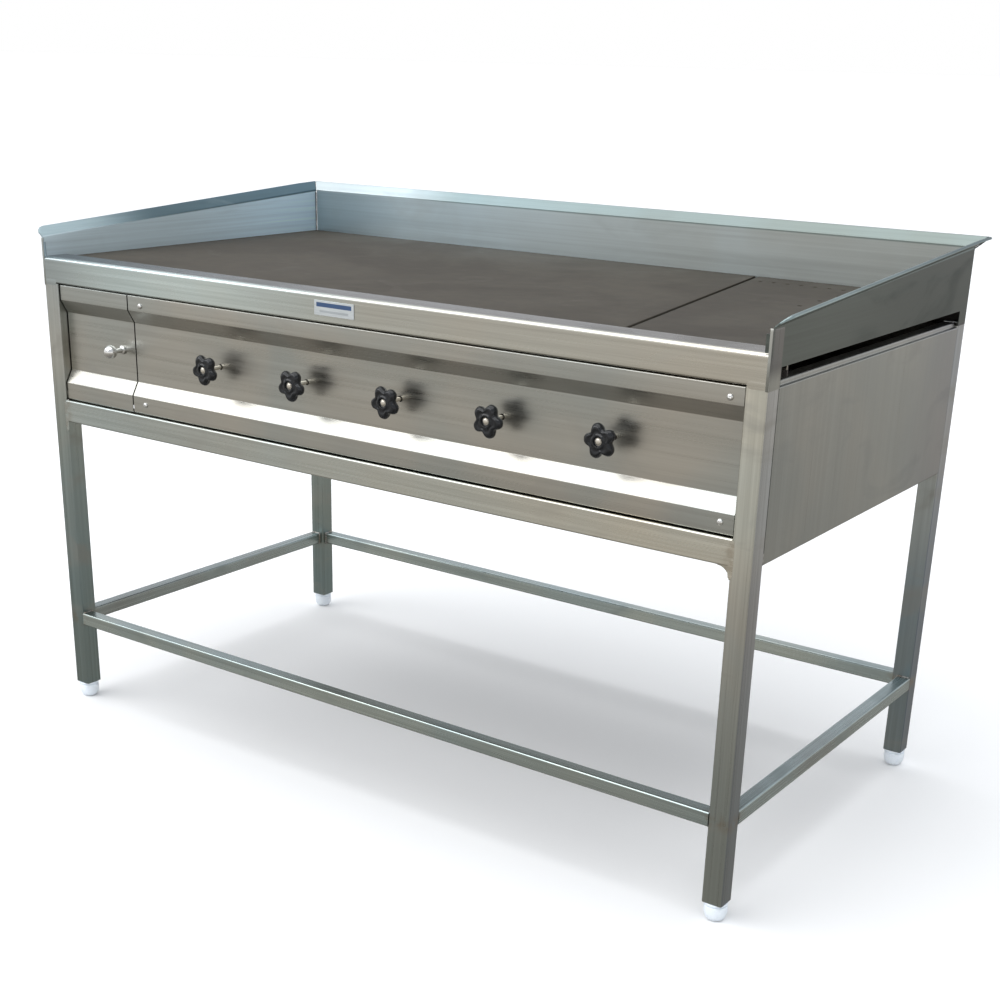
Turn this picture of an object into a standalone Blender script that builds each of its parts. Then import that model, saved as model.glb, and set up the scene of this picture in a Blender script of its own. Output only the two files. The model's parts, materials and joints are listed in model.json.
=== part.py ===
"""Flat top gas griddle on a square-tube stand. Metres, +Z up, front towards -Y, origin on the floor under the middle."""

import math

import bmesh
import bpy

MM = 0.001

# Overall
WIDTH = 1500 * MM
DEPTH = 770 * MM
DECK = 890 * MM
GAP = 0.3 * MM
SHEET = 1.5 * MM
BEND = 3 * MM

# Stand
LEG = 35 * MM
LEG_CORNER = 3 * MM
FOOT_HEIGHT = 32 * MM
FOOT_RADIUS = 19 * MM
STRETCHER = 25 * MM
STRETCHER_TOP = 187 * MM

# Burner box
FASCIA_HEIGHT = 47 * MM
FASCIA_DEPTH = 58 * MM
FASCIA_BEND = 6 * MM
RAIL_TOP = 623 * MM
RAIL_HEIGHT = 42 * MM
RAIL_FILLET = 20 * MM
PANEL_FOLD = 15 * MM
JOGGLE_DEPTH = 5 * MM
JOGGLE_HEIGHT = 8 * MM
JOGGLE_BEND = 2 * MM
JOGGLE_FLANGE = 20 * MM
SLOT_HEIGHT = 19.5 * MM
PAN_RISE = 10 * MM
PAN_WALL = 30 * MM

# Splash guards
GUARD_RISE_FRONT = 35 * MM
GUARD_RISE_REAR = 83 * MM
LIP = 20 * MM
HEM = 8 * MM
GUARD_FLANGE = 9 * MM
GUARD_CORNER = 20 * MM
GUARD_CORNER_TURNS = (25, 45, 67, 90)

# Griddle plates
PLATE = 12 * MM
PLATE_DROP = 4 * MM
PLATE_MARGIN = 2.5 * MM
PLATE_FRONT = 60 * MM
PLATE_REAR = 766 * MM
PLATE_SEAM_FRONT = 1230 * MM
PLATE_SEAM_REAR = 1098 * MM
PLATE_SEAM_GAP = 7 * MM
DRAIN_RADIUS = 4 * MM
DRAIN_PITCH = 27 * MM
DRAIN_FIRST_X = 1135 * MM
DRAIN_ROW_Y = 705 * MM
DRAIN_ROW_COUNT = 7
DRAIN_COLUMN_X = 1322 * MM
DRAIN_COLUMN_PITCH = 78 * MM
DRAIN_COLUMN_COUNT = 3
ANGLE = 30 * MM
ANGLE_THICKNESS = 3 * MM
FRAME_SIDE_INSET = 45 * MM
GUTTER_WIDTH = 44 * MM
GUTTER_DEPTH = 25 * MM
GUTTER_LEFT = 140 * MM

# Control panel and drawer front: depths behind the leg faces, and how far the profile's folds lie from the window's edges
FLANGE_SETBACK = 5 * MM
RECESS = 14 * MM
RETURN_DEPTH = 25 * MM
WINDOW_CLEARANCE = 2 * MM
FLANGE_FOLD = 30.5 * MM
SLANT_HEIGHT = 24 * MM
WINDOW_SIDE_GAP = 2 * MM
DRAWER_SEAM = 220 * MM
DRAWER_SEAM_GAP = 3 * MM
NAMEPLATE_LEFT = 678 * MM
NAMEPLATE_SIZE = (85 * MM, 0.8 * MM, 24 * MM)
NAMEPLATE_TOP_MARGIN = 11 * MM
SCREW_HEAD_RADIUS = 5 * MM
SCREW_SHANK_RADIUS = 2 * MM
SCREW_HEAD_HEIGHT = 3.2 * MM
SCREW_LENGTH = 12 * MM
SCREW_SIDE_INSET = 24 * MM
SCREW_SEAM_INSET = 33 * MM
SCREW_EDGE_INSET = 20 * MM

# Knobs, valves and burners
CONTROL_Z = 735 * MM
BURNER_COUNT = 5
BURNER_PITCH = 203 * MM
BURNER_MIDDLE = 843 * MM
KNOB_RADIUS = 27.5 * MM
KNOB_WAIST = 20 * MM
KNOB_THICKNESS = 16 * MM
KNOB_LOBES = 5
KNOB_TURNS = (-30, -39, -30, -50, -16)
KNOB_STAND_OFF = 39 * MM
KNOB_HUB_RADIUS = 9.5 * MM
KNOB_HUB_LENGTH = 7 * MM
KNOB_RECESS_RADIUS = 7.5 * MM
KNOB_RECESS_DEPTH = 4 * MM
SPINDLE_RADIUS = 4 * MM
SPINDLE_HEAD_RADIUS = 5.5 * MM
SPINDLE_PASS_RADIUS = 5 * MM
VALVE_FRONT = 42 * MM
VALVE_NUT_RADIUS = 11 * MM
VALVE_BODY_RADIUS = 13 * MM
VALVE_LENGTH = 48 * MM
INJECTOR_RADIUS = 6 * MM
INJECTOR_LENGTH = 14 * MM
MANIFOLD_RADIUS = 13.5 * MM
MANIFOLD_Y = 72 * MM
MANIFOLD_Z = 690 * MM
MANIFOLD_RIGHT = 1310 * MM
FEED_X = 330 * MM
FEED_BEND = 45 * MM
BURNER_RADIUS = 17 * MM
BURNER_WALL = 2.5 * MM
BURNER_THROAT = 11 * MM
BURNER_MOUTH = 19 * MM
BURNER_FRONT = 112 * MM
BURNER_REAR = 640 * MM
PORT_COUNT = 9
PORT_SIZE = (16 * MM, 4 * MM)
FRONT_REST_Y = 162 * MM
REAR_REST_Y = 590 * MM
REST_OVERHANG = 60 * MM
REST_FOOT = 30 * MM
UNION_RADIUS = 19 * MM

# Drawer
DRAWER_KNOB_X = 185 * MM
DRAWER_KNOB_RADIUS = 12.5 * MM
DRAWER_STEM_RADIUS = 5 * MM
DRAWER_KNOB_STAND_OFF = 30 * MM
TRAY_WALL = 1.2 * MM
TRAY_SIDE_GAP = 5 * MM
TRAY_FLOOR_Z = 634.6 * MM
TRAY_HEIGHT = 115 * MM
RUNNER_WIDTH = 58 * MM
RUNNER_THICKNESS = 2 * MM
LEDGE_WIDTH = 25 * MM

# Derived places, measured from the left outer face, the front outer face and the floor
SLOT_BOTTOM = DECK - FASCIA_HEIGHT
RAIL_BOTTOM = RAIL_TOP - RAIL_HEIGHT
SIDE_PANEL_TOP = SLOT_BOTTOM - 3 * MM
JOGGLE_TOP = SIDE_PANEL_TOP + JOGGLE_HEIGHT
SLOT_TOP = JOGGLE_TOP + SLOT_HEIGHT
PLATE_TOP = DECK - PLATE_DROP
PLATE_BOTTOM = PLATE_TOP - PLATE
PANEL_FACE = FLANGE_SETBACK + RECESS
KNOB_PLANE = PANEL_FACE - KNOB_STAND_OFF
KNOB_FRONT = KNOB_PLANE - KNOB_THICKNESS / 2
FRONT = (-KNOB_FRONT - LIP - DEPTH) / 2
LEFT = -WIDTH / 2
PAN_Z = RAIL_BOTTOM + PAN_RISE
PARTITION_X = DRAWER_SEAM + 4.5 * MM

BURNER_XS = [BURNER_MIDDLE + (i - (BURNER_COUNT - 1) / 2) * BURNER_PITCH for i in range(BURNER_COUNT)]

ROUND_STEPS = 24


# ---------------------------------------------------------------- scene, collections and materials

for old in list(bpy.data.objects):
    bpy.data.objects.remove(old, do_unlink=True)

PARTS = bpy.data.collections.new("flat_top_griddle")
CUTTERS = bpy.data.collections.new("cutters")
CUTTERS.hide_render = True
for made in (PARTS, CUTTERS):
    bpy.context.scene.collection.children.link(made)


def material(name, colour, metallic, roughness):
    made = bpy.data.materials.new(name)
    made.use_nodes = True
    shader = made.node_tree.nodes["Principled BSDF"]
    shader.inputs["Base Color"].default_value = (*colour, 1)
    shader.inputs["Metallic"].default_value = metallic
    shader.inputs["Roughness"].default_value = roughness
    return made


FRAME_STEEL = material("frame_steel", (0.36, 0.35, 0.31), 1, 0.38)
PANEL_STEEL = material("panel_steel", (0.46, 0.44, 0.39), 1, 0.32)
GUARD_STEEL = material("guard_steel", (0.40, 0.45, 0.46), 1, 0.35)
PLATE_STEEL = material("plate_steel", (0.13, 0.115, 0.105), 0.8, 0.55)
INNER_STEEL = material("inner_steel", (0.30, 0.30, 0.29), 1, 0.5)
SCREW_STEEL = material("screw_steel", (0.7, 0.7, 0.68), 1, 0.2)
LABEL = material("label_aluminium", (0.62, 0.66, 0.68), 0.9, 0.4)
BAKELITE = material("black_bakelite", (0.012, 0.012, 0.014), 0, 0.18)
BRASS = material("brass", (0.66, 0.52, 0.27), 1, 0.28)
CAST_IRON = material("burner_iron", (0.08, 0.08, 0.08), 0.7, 0.7)
PIPE = material("gas_pipe", (0.33, 0.33, 0.34), 1, 0.45)
NYLON = material("white_nylon", (0.72, 0.78, 0.84), 0, 0.4)


# ---------------------------------------------------------------- shape helpers


def at(x, y, z):
    """A point measured from the left, front and floor, in the model's own frame."""
    return (LEFT + x, FRONT + y, z)


def keep(obj, finish):
    """Gives the object its material and puts it among the parts."""
    obj.data.materials.clear()
    obj.data.materials.append(finish)
    PARTS.objects.link(obj)
    return obj


def cutter(obj):
    obj.hide_render = True
    obj.display_type = "WIRE"
    CUTTERS.objects.link(obj)
    return obj


def mesh_object(name, bm):
    mesh = bpy.data.meshes.new(name)
    bm.to_mesh(mesh)
    bm.free()
    return bpy.data.objects.new(name, mesh)


def box(name, low, high):
    """A box between two corners, measured from the left, front and floor."""
    bm = bmesh.new()
    bmesh.ops.create_cube(bm, size=1)
    size = [b - a for a, b in zip(low, high)]
    bmesh.ops.scale(bm, vec=size, verts=bm.verts)
    obj = mesh_object(name, bm)
    obj.location = at(*[(a + b) / 2 for a, b in zip(low, high)])
    return obj


def cylinder(name, radius, length, steps=ROUND_STEPS):
    """A cylinder along its own Z, centred."""
    bm = bmesh.new()
    bmesh.ops.create_cone(bm, cap_ends=True, segments=steps, radius1=radius, radius2=radius, depth=length)
    return mesh_object(name, bm)


def along_y(obj, x, y, z):
    """Turns the object's own +Z to the front and puts its origin at a place."""
    obj.rotation_euler = (math.pi / 2, 0, 0)
    obj.location = at(x, y, z)
    return obj


def smooth(obj):
    obj.data.shade_smooth()
    obj.data.set_sharp_from_angle(angle=math.radians(35))
    return obj


def boolean(obj, other, operation):
    made = obj.modifiers.new(f"{operation.lower()}_{other.name}", "BOOLEAN")
    made.operation = operation
    made.object = cutter(other)
    return obj


def cut(obj, other):
    return boolean(obj, other, "DIFFERENCE")


def join(obj, other):
    return boolean(obj, other, "UNION")


def bevel(obj, width, segments=2, angle=30):
    made = obj.modifiers.new("bevel", "BEVEL")
    made.width = width
    made.segments = segments
    made.limit_method = "ANGLE"
    made.angle_limit = math.radians(angle)
    return obj


def arc(centre, radius, start, end, steps):
    """Points on a circle from one angle to another, in degrees."""
    turns = [math.radians(start + (end - start) * i / steps) for i in range(steps + 1)]
    return [(centre[0] + radius * math.cos(a), centre[1] + radius * math.sin(a)) for a in turns]


def rounded_rectangle(width, height, radius, steps=4):
    across, up = width / 2 - radius, height / 2 - radius
    points = []
    for turn, (sx, sy) in enumerate(((1, 1), (-1, 1), (-1, -1), (1, -1))):
        points += arc((sx * across, sy * up), radius, 90 * turn, 90 * turn + 90, steps)
    return points


def rounded(points, radius, steps=3):
    """An open line with its corners replaced by arcs; a corner takes its own radius where a point has a third value."""
    made = [points[0][:2]]
    for before, corner, after in zip(points, points[1:], points[2:]):
        own = corner[2] if len(corner) > 2 else radius
        ways = []
        for end in (before, after):
            step = (end[0] - corner[0], end[1] - corner[1])
            length = math.hypot(*step)
            ways.append((step[0] / length, step[1] / length))
        half = math.acos(ways[0][0] * ways[1][0] + ways[0][1] * ways[1][1]) / 2
        reach = own / math.tan(half)
        middle = [a + b for a, b in zip(*ways)]
        scale = own / math.sin(half) / math.hypot(*middle)
        centre = (corner[0] + middle[0] * scale, corner[1] + middle[1] * scale)
        starts = [(corner[0] + w[0] * reach - centre[0], corner[1] + w[1] * reach - centre[1]) for w in ways]
        first = math.atan2(starts[0][1], starts[0][0])
        turn = math.atan2(starts[1][1], starts[1][0]) - first
        turn = (turn + math.pi) % (2 * math.pi) - math.pi
        made += [
            (centre[0] + own * math.cos(first + turn * i / steps), centre[1] + own * math.sin(first + turn * i / steps))
            for i in range(steps + 1)
        ]
    made.append(points[-1][:2])
    return made


PLANES = {
    "XY": (0, 0, 0),
    "XZ": (math.pi / 2, 0, 0),
    "YZ": (math.pi / 2, 0, math.pi / 2),
}


def flat(name, outlines, thickness, plane, middle):
    """A flat outline with holes, its own plane turned to a world plane, and its middle at a place."""
    curve = bpy.data.curves.new(name, "CURVE")
    curve.dimensions = "2D"
    curve.fill_mode = "BOTH"
    curve.extrude = thickness / 2
    for points in outlines:
        spline = curve.splines.new("POLY")
        spline.points.add(len(points) - 1)
        for point, (u, v) in zip(spline.points, points):
            point.co = (u, v, 0, 1)
        spline.use_cyclic_u = True
    source = bpy.data.objects.new(name + "_outline", curve)
    source.rotation_euler = PLANES[plane]
    source.location = middle
    return meshed(name, source)


def meshed(name, source):
    """The mesh that a curve object makes, with its caps welded, as a new object in the same place."""
    bpy.context.scene.collection.objects.link(source)
    bpy.context.view_layer.update()
    graph = bpy.context.evaluated_depsgraph_get()
    mesh = bpy.data.meshes.new_from_object(source.evaluated_get(graph))
    mesh.name = name
    bm = bmesh.new()
    bm.from_mesh(mesh)
    bmesh.ops.remove_doubles(bm, verts=bm.verts, dist=0.001 * MM)
    bmesh.ops.recalc_face_normals(bm, faces=bm.faces)
    bm.to_mesh(mesh)
    bm.free()
    obj = bpy.data.objects.new(name, mesh)
    obj.matrix_world = source.matrix_world.copy()
    bpy.data.objects.remove(source)
    return obj


def tube(name, width, height, length, plane, middle):
    """A rectangular tube with open ends, its section in the given plane."""
    outer = rounded_rectangle(width, height, LEG_CORNER)
    inner = rounded_rectangle(width - 2 * SHEET, height - 2 * SHEET, LEG_CORNER - SHEET)
    return flat(name, [outer, inner], length, plane, middle)


def solidify(obj, thickness, side):
    made = obj.modifiers.new("sheet", "SOLIDIFY")
    made.thickness = thickness
    made.offset = side
    made.use_even_offset = True
    return obj


def folded(name, profile, start, end, axis, side, thickness=SHEET):
    """A sheet folded along an open profile and running along X or Y; side says which side of it the metal is on."""
    places = {
        "X": lambda u, v, run: at(run, u, v),
        "Y": lambda u, v, run: at(u, run, v),
    }
    bm = bmesh.new()
    rows = [[bm.verts.new(places[axis](u, v, run)) for u, v in profile] for run in (start, end)]
    for i in range(len(profile) - 1):
        bm.faces.new((rows[0][i], rows[0][i + 1], rows[1][i + 1], rows[1][i]))
    return solidify(mesh_object(name, bm), thickness, side)


def turned(name, profile, steps=ROUND_STEPS):
    """A turned shape about its own Z. An open profile starts and ends on the axis."""
    bm = bmesh.new()
    verts = [bm.verts.new((r, 0, z)) for r, z in profile]
    for a, b in zip(verts, verts[1:]):
        bm.edges.new((a, b))
    if profile[0][0] > 0:
        bm.edges.new((verts[-1], verts[0]))
    obj = mesh_object(name, bm)
    made = obj.modifiers.new("turn", "SCREW")
    made.axis = "Z"
    made.steps = steps
    made.render_steps = steps
    made.use_merge_vertices = True
    made.merge_threshold = 0.01 * MM
    made.use_smooth_shade = True
    return obj


def pipe(name, points, radius):
    """A round pipe along a line of points, with filled ends."""
    curve = bpy.data.curves.new(name, "CURVE")
    curve.dimensions = "3D"
    curve.bevel_depth = radius
    curve.bevel_resolution = 2
    curve.use_fill_caps = True
    spline = curve.splines.new("POLY")
    spline.points.add(len(points) - 1)
    for point, place in zip(spline.points, points):
        point.co = (*place, 1)
    return bpy.data.objects.new(name, curve)


# ---------------------------------------------------------------- stand


def leg(name, x, y):
    height = SLOT_BOTTOM - GAP - FOOT_HEIGHT
    middle = at(x, y, FOOT_HEIGHT + height / 2)
    keep(tube(name, LEG, LEG, height, "XY", middle), FRAME_STEEL)


def foot(name, x, y):
    """A bullet foot whose round stem is pushed into the leg."""
    rest, shoulder, stem, stem_top = 9 * MM, 15 * MM, 14.5 * MM, 30 * MM
    top = FOOT_HEIGHT - GAP
    bullet = arc((FOOT_RADIUS - shoulder, shoulder), shoulder, 0, -90, 5)
    profile = [(0, FOOT_HEIGHT + stem_top), (stem, FOOT_HEIGHT + stem_top), (stem, top), (FOOT_RADIUS, top)]
    profile += [(max(r, rest), z) for r, z in bullet if r > rest] + [(rest, 0), (0, 0)]
    obj = turned(name, profile)
    obj.location = at(x, y, 0)
    keep(obj, NYLON)


def stand():
    near, far = LEG / 2, DEPTH - LEG / 2
    left, right = LEG / 2, WIDTH - LEG / 2
    for side, x in (("left", left), ("right", right)):
        for end, y in (("front", near), ("rear", far)):
            leg(f"leg_{end}_{side}", x, y)
            foot(f"foot_{end}_{side}", x, y)
    z = STRETCHER_TOP - STRETCHER / 2
    inset = STRETCHER / 2
    across = WIDTH - 2 * LEG - 2 * GAP
    along = DEPTH - 2 * LEG - 2 * GAP
    for name, y in (("stretcher_front", inset), ("stretcher_rear", DEPTH - inset)):
        keep(tube(name, STRETCHER, STRETCHER, across, "YZ", at(WIDTH / 2, y, z)), FRAME_STEEL)
    for name, x in (("stretcher_left", inset), ("stretcher_right", WIDTH - inset)):
        keep(tube(name, STRETCHER, STRETCHER, along, "XZ", at(x, DEPTH / 2, z)), FRAME_STEEL)


# ---------------------------------------------------------------- burner box


def front_lower_rail():
    """The rail under the controls, with a curved web where it meets the right leg."""
    depth = RETURN_DEPTH
    inner, outer = LEG + GAP, WIDTH - LEG - GAP
    middle_z = RAIL_TOP - RAIL_HEIGHT / 2
    rail = tube("front_lower_rail", depth, RAIL_HEIGHT, outer - inner, "YZ", at(WIDTH / 2, depth / 2, middle_z))
    radius = RAIL_FILLET
    overlap = 6 * MM
    web = arc((-radius, -radius), radius, 90, 0, 6) + [(0, overlap), (-radius, overlap)]
    corner = at(outer - GAP, SHEET / 2, RAIL_BOTTOM)
    join(rail, flat("rail_web", [web], SHEET / 2, "XZ", corner))
    keep(rail, FRAME_STEEL)


def front_fascia():
    profile = [
        (20 * MM, SLOT_BOTTOM),
        (0, SLOT_BOTTOM, BEND),
        (0, DECK, FASCIA_BEND),
        (FASCIA_DEPTH, DECK, BEND),
        (FASCIA_DEPTH, DECK - ANGLE),
    ]
    side = SHEET + GAP
    obj = folded("front_fascia", rounded(profile, BEND, 4), side, WIDTH - side, "X", 1)
    keep(obj, FRAME_STEEL)


def side_panel(name, outer, inward):
    """A flat panel between the legs, folded inwards at the bottom, its top stepped inwards under the vent slot."""
    stepped = outer + inward * JOGGLE_DEPTH
    profile = [
        (outer + inward * PANEL_FOLD, RAIL_BOTTOM),
        (outer, RAIL_BOTTOM),
        (outer, SIDE_PANEL_TOP, JOGGLE_BEND),
        (stepped, SIDE_PANEL_TOP, JOGGLE_BEND),
        (stepped, JOGGLE_TOP),
        (stepped + inward * JOGGLE_FLANGE, JOGGLE_TOP),
    ]
    start, end = LEG + GAP, DEPTH - LEG - GAP
    keep(folded(name, rounded(profile, BEND), start, end, "Y", -inward), PANEL_STEEL)


def rear_panel():
    profile = [
        (DEPTH - PANEL_FOLD, RAIL_BOTTOM),
        (DEPTH, RAIL_BOTTOM),
        (DEPTH, SIDE_PANEL_TOP),
        (DEPTH - PANEL_FOLD, SIDE_PANEL_TOP),
    ]
    start, end = LEG + GAP, WIDTH - LEG - GAP
    obj = folded("rear_panel", rounded(profile, BEND), start, end, "X", -1)
    hole = cylinder("feed_hole", MANIFOLD_RADIUS + 2 * MM, 10 * MM)
    cut(obj, along_y(hole, FEED_X, DEPTH, MANIFOLD_Z))
    keep(obj, INNER_STEEL)


def floor_pan():
    near, far = LEG, DEPTH - LEG
    profile = [(near, PAN_Z + PAN_WALL), (near, PAN_Z), (far, PAN_Z), (far, PAN_Z + PAN_WALL)]
    start, end = PARTITION_X + 4 * MM, WIDTH - LEG - 2 * GAP
    keep(folded("floor_pan", rounded(profile, BEND), start, end, "X", -1), INNER_STEEL)


def drawer_partition():
    """The wall between the drawer and the burners, with the drawer's right-hand ledge folded from it."""
    ledge_z = TRAY_FLOOR_Z - GAP
    profile = [(PARTITION_X, SLOT_BOTTOM - GAP), (PARTITION_X, ledge_z), (PARTITION_X - LEDGE_WIDTH, ledge_z)]
    near, far = RETURN_DEPTH + 5 * MM, DEPTH - LEG
    keep(folded("drawer_partition", rounded(profile, BEND), near, far, "Y", 1), INNER_STEEL)


# ---------------------------------------------------------------- top


def lip_profile(kink_z, share=1):
    """The guard's upper edge in (outward, height): straight up, flared outwards at 45 degrees, then hemmed down."""
    reach, top = share * (LIP + SHEET), kink_z + share * LIP
    points = [(0, kink_z - 3 * BEND), (0, kink_z), (reach, top, share * BEND), (reach, top - share * HEM)]
    return rounded(points, BEND)


def kink_height(y):
    return DECK + GUARD_RISE_FRONT + (GUARD_RISE_REAR - GUARD_RISE_FRONT) * y / DEPTH


def side_guard(name, inner, outward):
    """A tall sheet above the vent slot, rising to the rear. Its lip grows round the front corner and is mitred at the rear."""
    near, far = SHEET, DEPTH - SHEET - GAP
    turns = [math.radians(turn) for turn in GUARD_CORNER_TURNS]
    start = GUARD_CORNER * math.cos(turns[0])
    columns = [(near + start - GUARD_CORNER * math.cos(a), 0, math.sin(a)) for a in turns]
    slot_start = len(columns)
    columns += [(LEG + GAP, 0, 1), (DEPTH - LEG - GAP, 0, 1), (far, 1, 1)]
    flange_z = DECK + GAP
    bm = bmesh.new()
    grid = []
    for y, reach, share in columns:
        points = [(0, SLOT_BOTTOM), (0, SLOT_TOP), (0, flange_z)] + lip_profile(kink_height(y), share)
        grid.append([bm.verts.new(at(inner + outward * u, y + reach * u, z)) for u, z in points])
    for first, (left, right) in enumerate(zip(grid, grid[1:])):
        for row in range(len(left) - 1):
            if first == slot_start and row == 0:
                continue
            bm.faces.new((left[row], right[row], right[row + 1], left[row + 1]))
    flange = [bm.verts.new(at(inner - outward * GUARD_FLANGE, near, z)) for z in (flange_z, kink_height(near) - 3 * BEND)]
    bm.faces.new((flange[0], grid[0][2], grid[0][3], flange[1]))
    keep(solidify(mesh_object(name, bm), SHEET, outward), GUARD_STEEL)


def rear_guard():
    inner = DEPTH - SHEET
    low = [(0, SLOT_BOTTOM)]
    points = low + lip_profile(kink_height(DEPTH))
    corner = 2 * SHEET + 2 * GAP
    ends = ((corner, -1), (WIDTH - corner, 1))
    bm = bmesh.new()
    rows = [[bm.verts.new(at(x + way * u, inner + u, z)) for u, z in points] for x, way in ends]
    for i in range(len(points) - 1):
        bm.faces.new((rows[0][i], rows[0][i + 1], rows[1][i + 1], rows[1][i]))
    keep(solidify(mesh_object("guard_rear", bm), SHEET, 1), GUARD_STEEL)


def drain_holes():
    """Places of the drain holes: a row along the rear of the right plate, and a column towards the front."""
    row = [(DRAIN_FIRST_X + i * DRAIN_PITCH, DRAIN_ROW_Y) for i in range(DRAIN_ROW_COUNT)]
    column = [(DRAIN_COLUMN_X, DRAIN_ROW_Y - (i + 1) * DRAIN_COLUMN_PITCH) for i in range(DRAIN_COLUMN_COUNT)]
    return row + column


def plates():
    """Two plates whose joint runs at a slight angle from front to rear."""
    half = PLATE_SEAM_GAP / 2
    near, far = PLATE_FRONT, PLATE_REAR
    main = [(PLATE_MARGIN, near), (PLATE_SEAM_FRONT - half, near), (PLATE_SEAM_REAR - half, far), (PLATE_MARGIN, far)]
    right = WIDTH - PLATE_MARGIN
    side = [(PLATE_SEAM_FRONT + half, near), (right, near), (right, far), (PLATE_SEAM_REAR + half, far)]
    holes = [arc(place, DRAIN_RADIUS, 0, 360 - 45, 7) for place in drain_holes()]
    middle = at(0, 0, PLATE_BOTTOM + PLATE / 2)
    keep(bevel(flat("griddle_plate_main", [main], PLATE, "XY", middle), 1 * MM, 1), PLATE_STEEL)
    keep(bevel(flat("griddle_plate_right", [side] + holes, PLATE, "XY", middle), 1 * MM, 1, 60), PLATE_STEEL)


def plate_frame():
    """Four angle bars welded into a frame that carries the plates."""
    top = PLATE_BOTTOM - GAP
    low = top - ANGLE
    near, far = FASCIA_DEPTH + GAP, DEPTH - SHEET - GAP
    start, end = SHEET + GAP, WIDTH - SHEET - GAP
    thick = ANGLE_THICKNESS

    def angle(name, corner, inward, run_start, run_end, axis, drop):
        profile = [(corner, top - drop), (corner, top), (corner + inward * ANGLE, top)]
        side = inward if axis == "X" else -inward
        return folded(name, profile, run_start, run_end, axis, side, thick)

    frame = angle("plate_frame", near, 1, start, end, "X", top - JOGGLE_TOP - ANGLE_THICKNESS)
    left, right = FRAME_SIDE_INSET, WIDTH - FRAME_SIDE_INSET
    overlap = 5 * MM
    drop = ANGLE / 2
    join(frame, angle("frame_rear", far, -1, start, end, "X", low + ANGLE - SLOT_BOTTOM - ANGLE_THICKNESS))
    join(frame, angle("frame_left", left, 1, near + overlap, far - overlap, "Y", drop))
    join(frame, angle("frame_right", right, -1, near + overlap, far - overlap, "Y", drop))
    keep(frame, INNER_STEEL)


def drain_gutter():
    """An open trough under the drain holes that runs left to the drawer."""
    half = GUTTER_WIDTH / 2
    front_end = DRAIN_ROW_Y - (DRAIN_COLUMN_COUNT + 0.5) * DRAIN_COLUMN_PITCH
    end_x = DRAIN_COLUMN_X

    def trough(inset, left):
        w = half - inset
        near, far = DRAIN_ROW_Y - w, DRAIN_ROW_Y + w
        inner, outer = end_x - w, end_x + w
        front = front_end + inset
        return [(left, near), (inner, near), (inner, front), (outer, front), (outer, far), (left, far)]

    top = PLATE_BOTTOM - 6 * MM
    middle = at(0, 0, top - GUTTER_DEPTH / 2)
    gutter = flat("drain_gutter", [trough(0, GUTTER_LEFT)], GUTTER_DEPTH, "XY", middle)
    hollow_middle = at(0, 0, top - GUTTER_DEPTH / 2 + SHEET)
    hollow = trough(SHEET, GUTTER_LEFT - 10 * MM)
    cut(gutter, flat("gutter_hollow", [hollow], GUTTER_DEPTH, "XY", hollow_middle))
    keep(gutter, INNER_STEEL)


# ---------------------------------------------------------------- control panel and drawer


def front_profile():
    """Flange, inward slant, recessed face, outward slant and flange, with a return at each end, as (depth, height)."""
    top, low = SLOT_BOTTOM - WINDOW_CLEARANCE, RAIL_TOP + WINDOW_CLEARANCE
    upper, lower = SLOT_BOTTOM - FLANGE_FOLD, RAIL_TOP + FLANGE_FOLD + 3 * MM
    profile = [
        (RETURN_DEPTH, top),
        (FLANGE_SETBACK, top),
        (FLANGE_SETBACK, upper),
        (PANEL_FACE, upper - SLANT_HEIGHT),
        (PANEL_FACE, lower + SLANT_HEIGHT),
        (FLANGE_SETBACK, lower),
        (FLANGE_SETBACK, low),
        (RETURN_DEPTH, low),
    ]
    return rounded(profile, BEND)


def screw_places():
    left = DRAWER_SEAM + SCREW_SEAM_INSET
    right = WIDTH - LEG - SCREW_SIDE_INSET
    top, low = SLOT_BOTTOM - SCREW_EDGE_INSET, RAIL_TOP + SCREW_EDGE_INSET
    return [(left, top), (left, low), (right, top), (right, low)]


def control_panel():
    start, end = DRAWER_SEAM + DRAWER_SEAM_GAP / 2, WIDTH - LEG - WINDOW_SIDE_GAP
    panel = folded("control_panel", front_profile(), start, end, "X", -1)
    for i, x in enumerate(BURNER_XS):
        hole = cylinder(f"spindle_hole_{i + 1}", SPINDLE_PASS_RADIUS, 20 * MM, 16)
        cut(panel, along_y(hole, x, PANEL_FACE, CONTROL_Z))
    for i, (x, z) in enumerate(screw_places()):
        hole = cylinder(f"screw_hole_{i + 1}", SCREW_SHANK_RADIUS + GAP, 20 * MM, 12)
        cut(panel, along_y(hole, x, FLANGE_SETBACK, z))
    keep(panel, PANEL_STEEL)


def panel_screws():
    head, shank, high = SCREW_HEAD_RADIUS, SCREW_SHANK_RADIUS, SCREW_HEAD_HEIGHT
    profile = [(0, high), (head * 0.6, high), (head, high * 0.4), (head, 0), (shank, 0), (shank, -SCREW_LENGTH)]
    profile.append((0, -SCREW_LENGTH))
    for i, (x, z) in enumerate(screw_places()):
        screw = turned(f"panel_screw_{i + 1}", profile, 16)
        keep(along_y(screw, x, FLANGE_SETBACK - GAP, z), SCREW_STEEL)


def nameplate():
    width, thick, high = NAMEPLATE_SIZE
    top = DECK - NAMEPLATE_TOP_MARGIN
    low = (NAMEPLATE_LEFT, -thick - GAP, top - high)
    plate = box("nameplate", low, (NAMEPLATE_LEFT + width, -GAP, top))
    keep(bevel(plate, 0.3 * MM, 1), LABEL)


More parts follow.
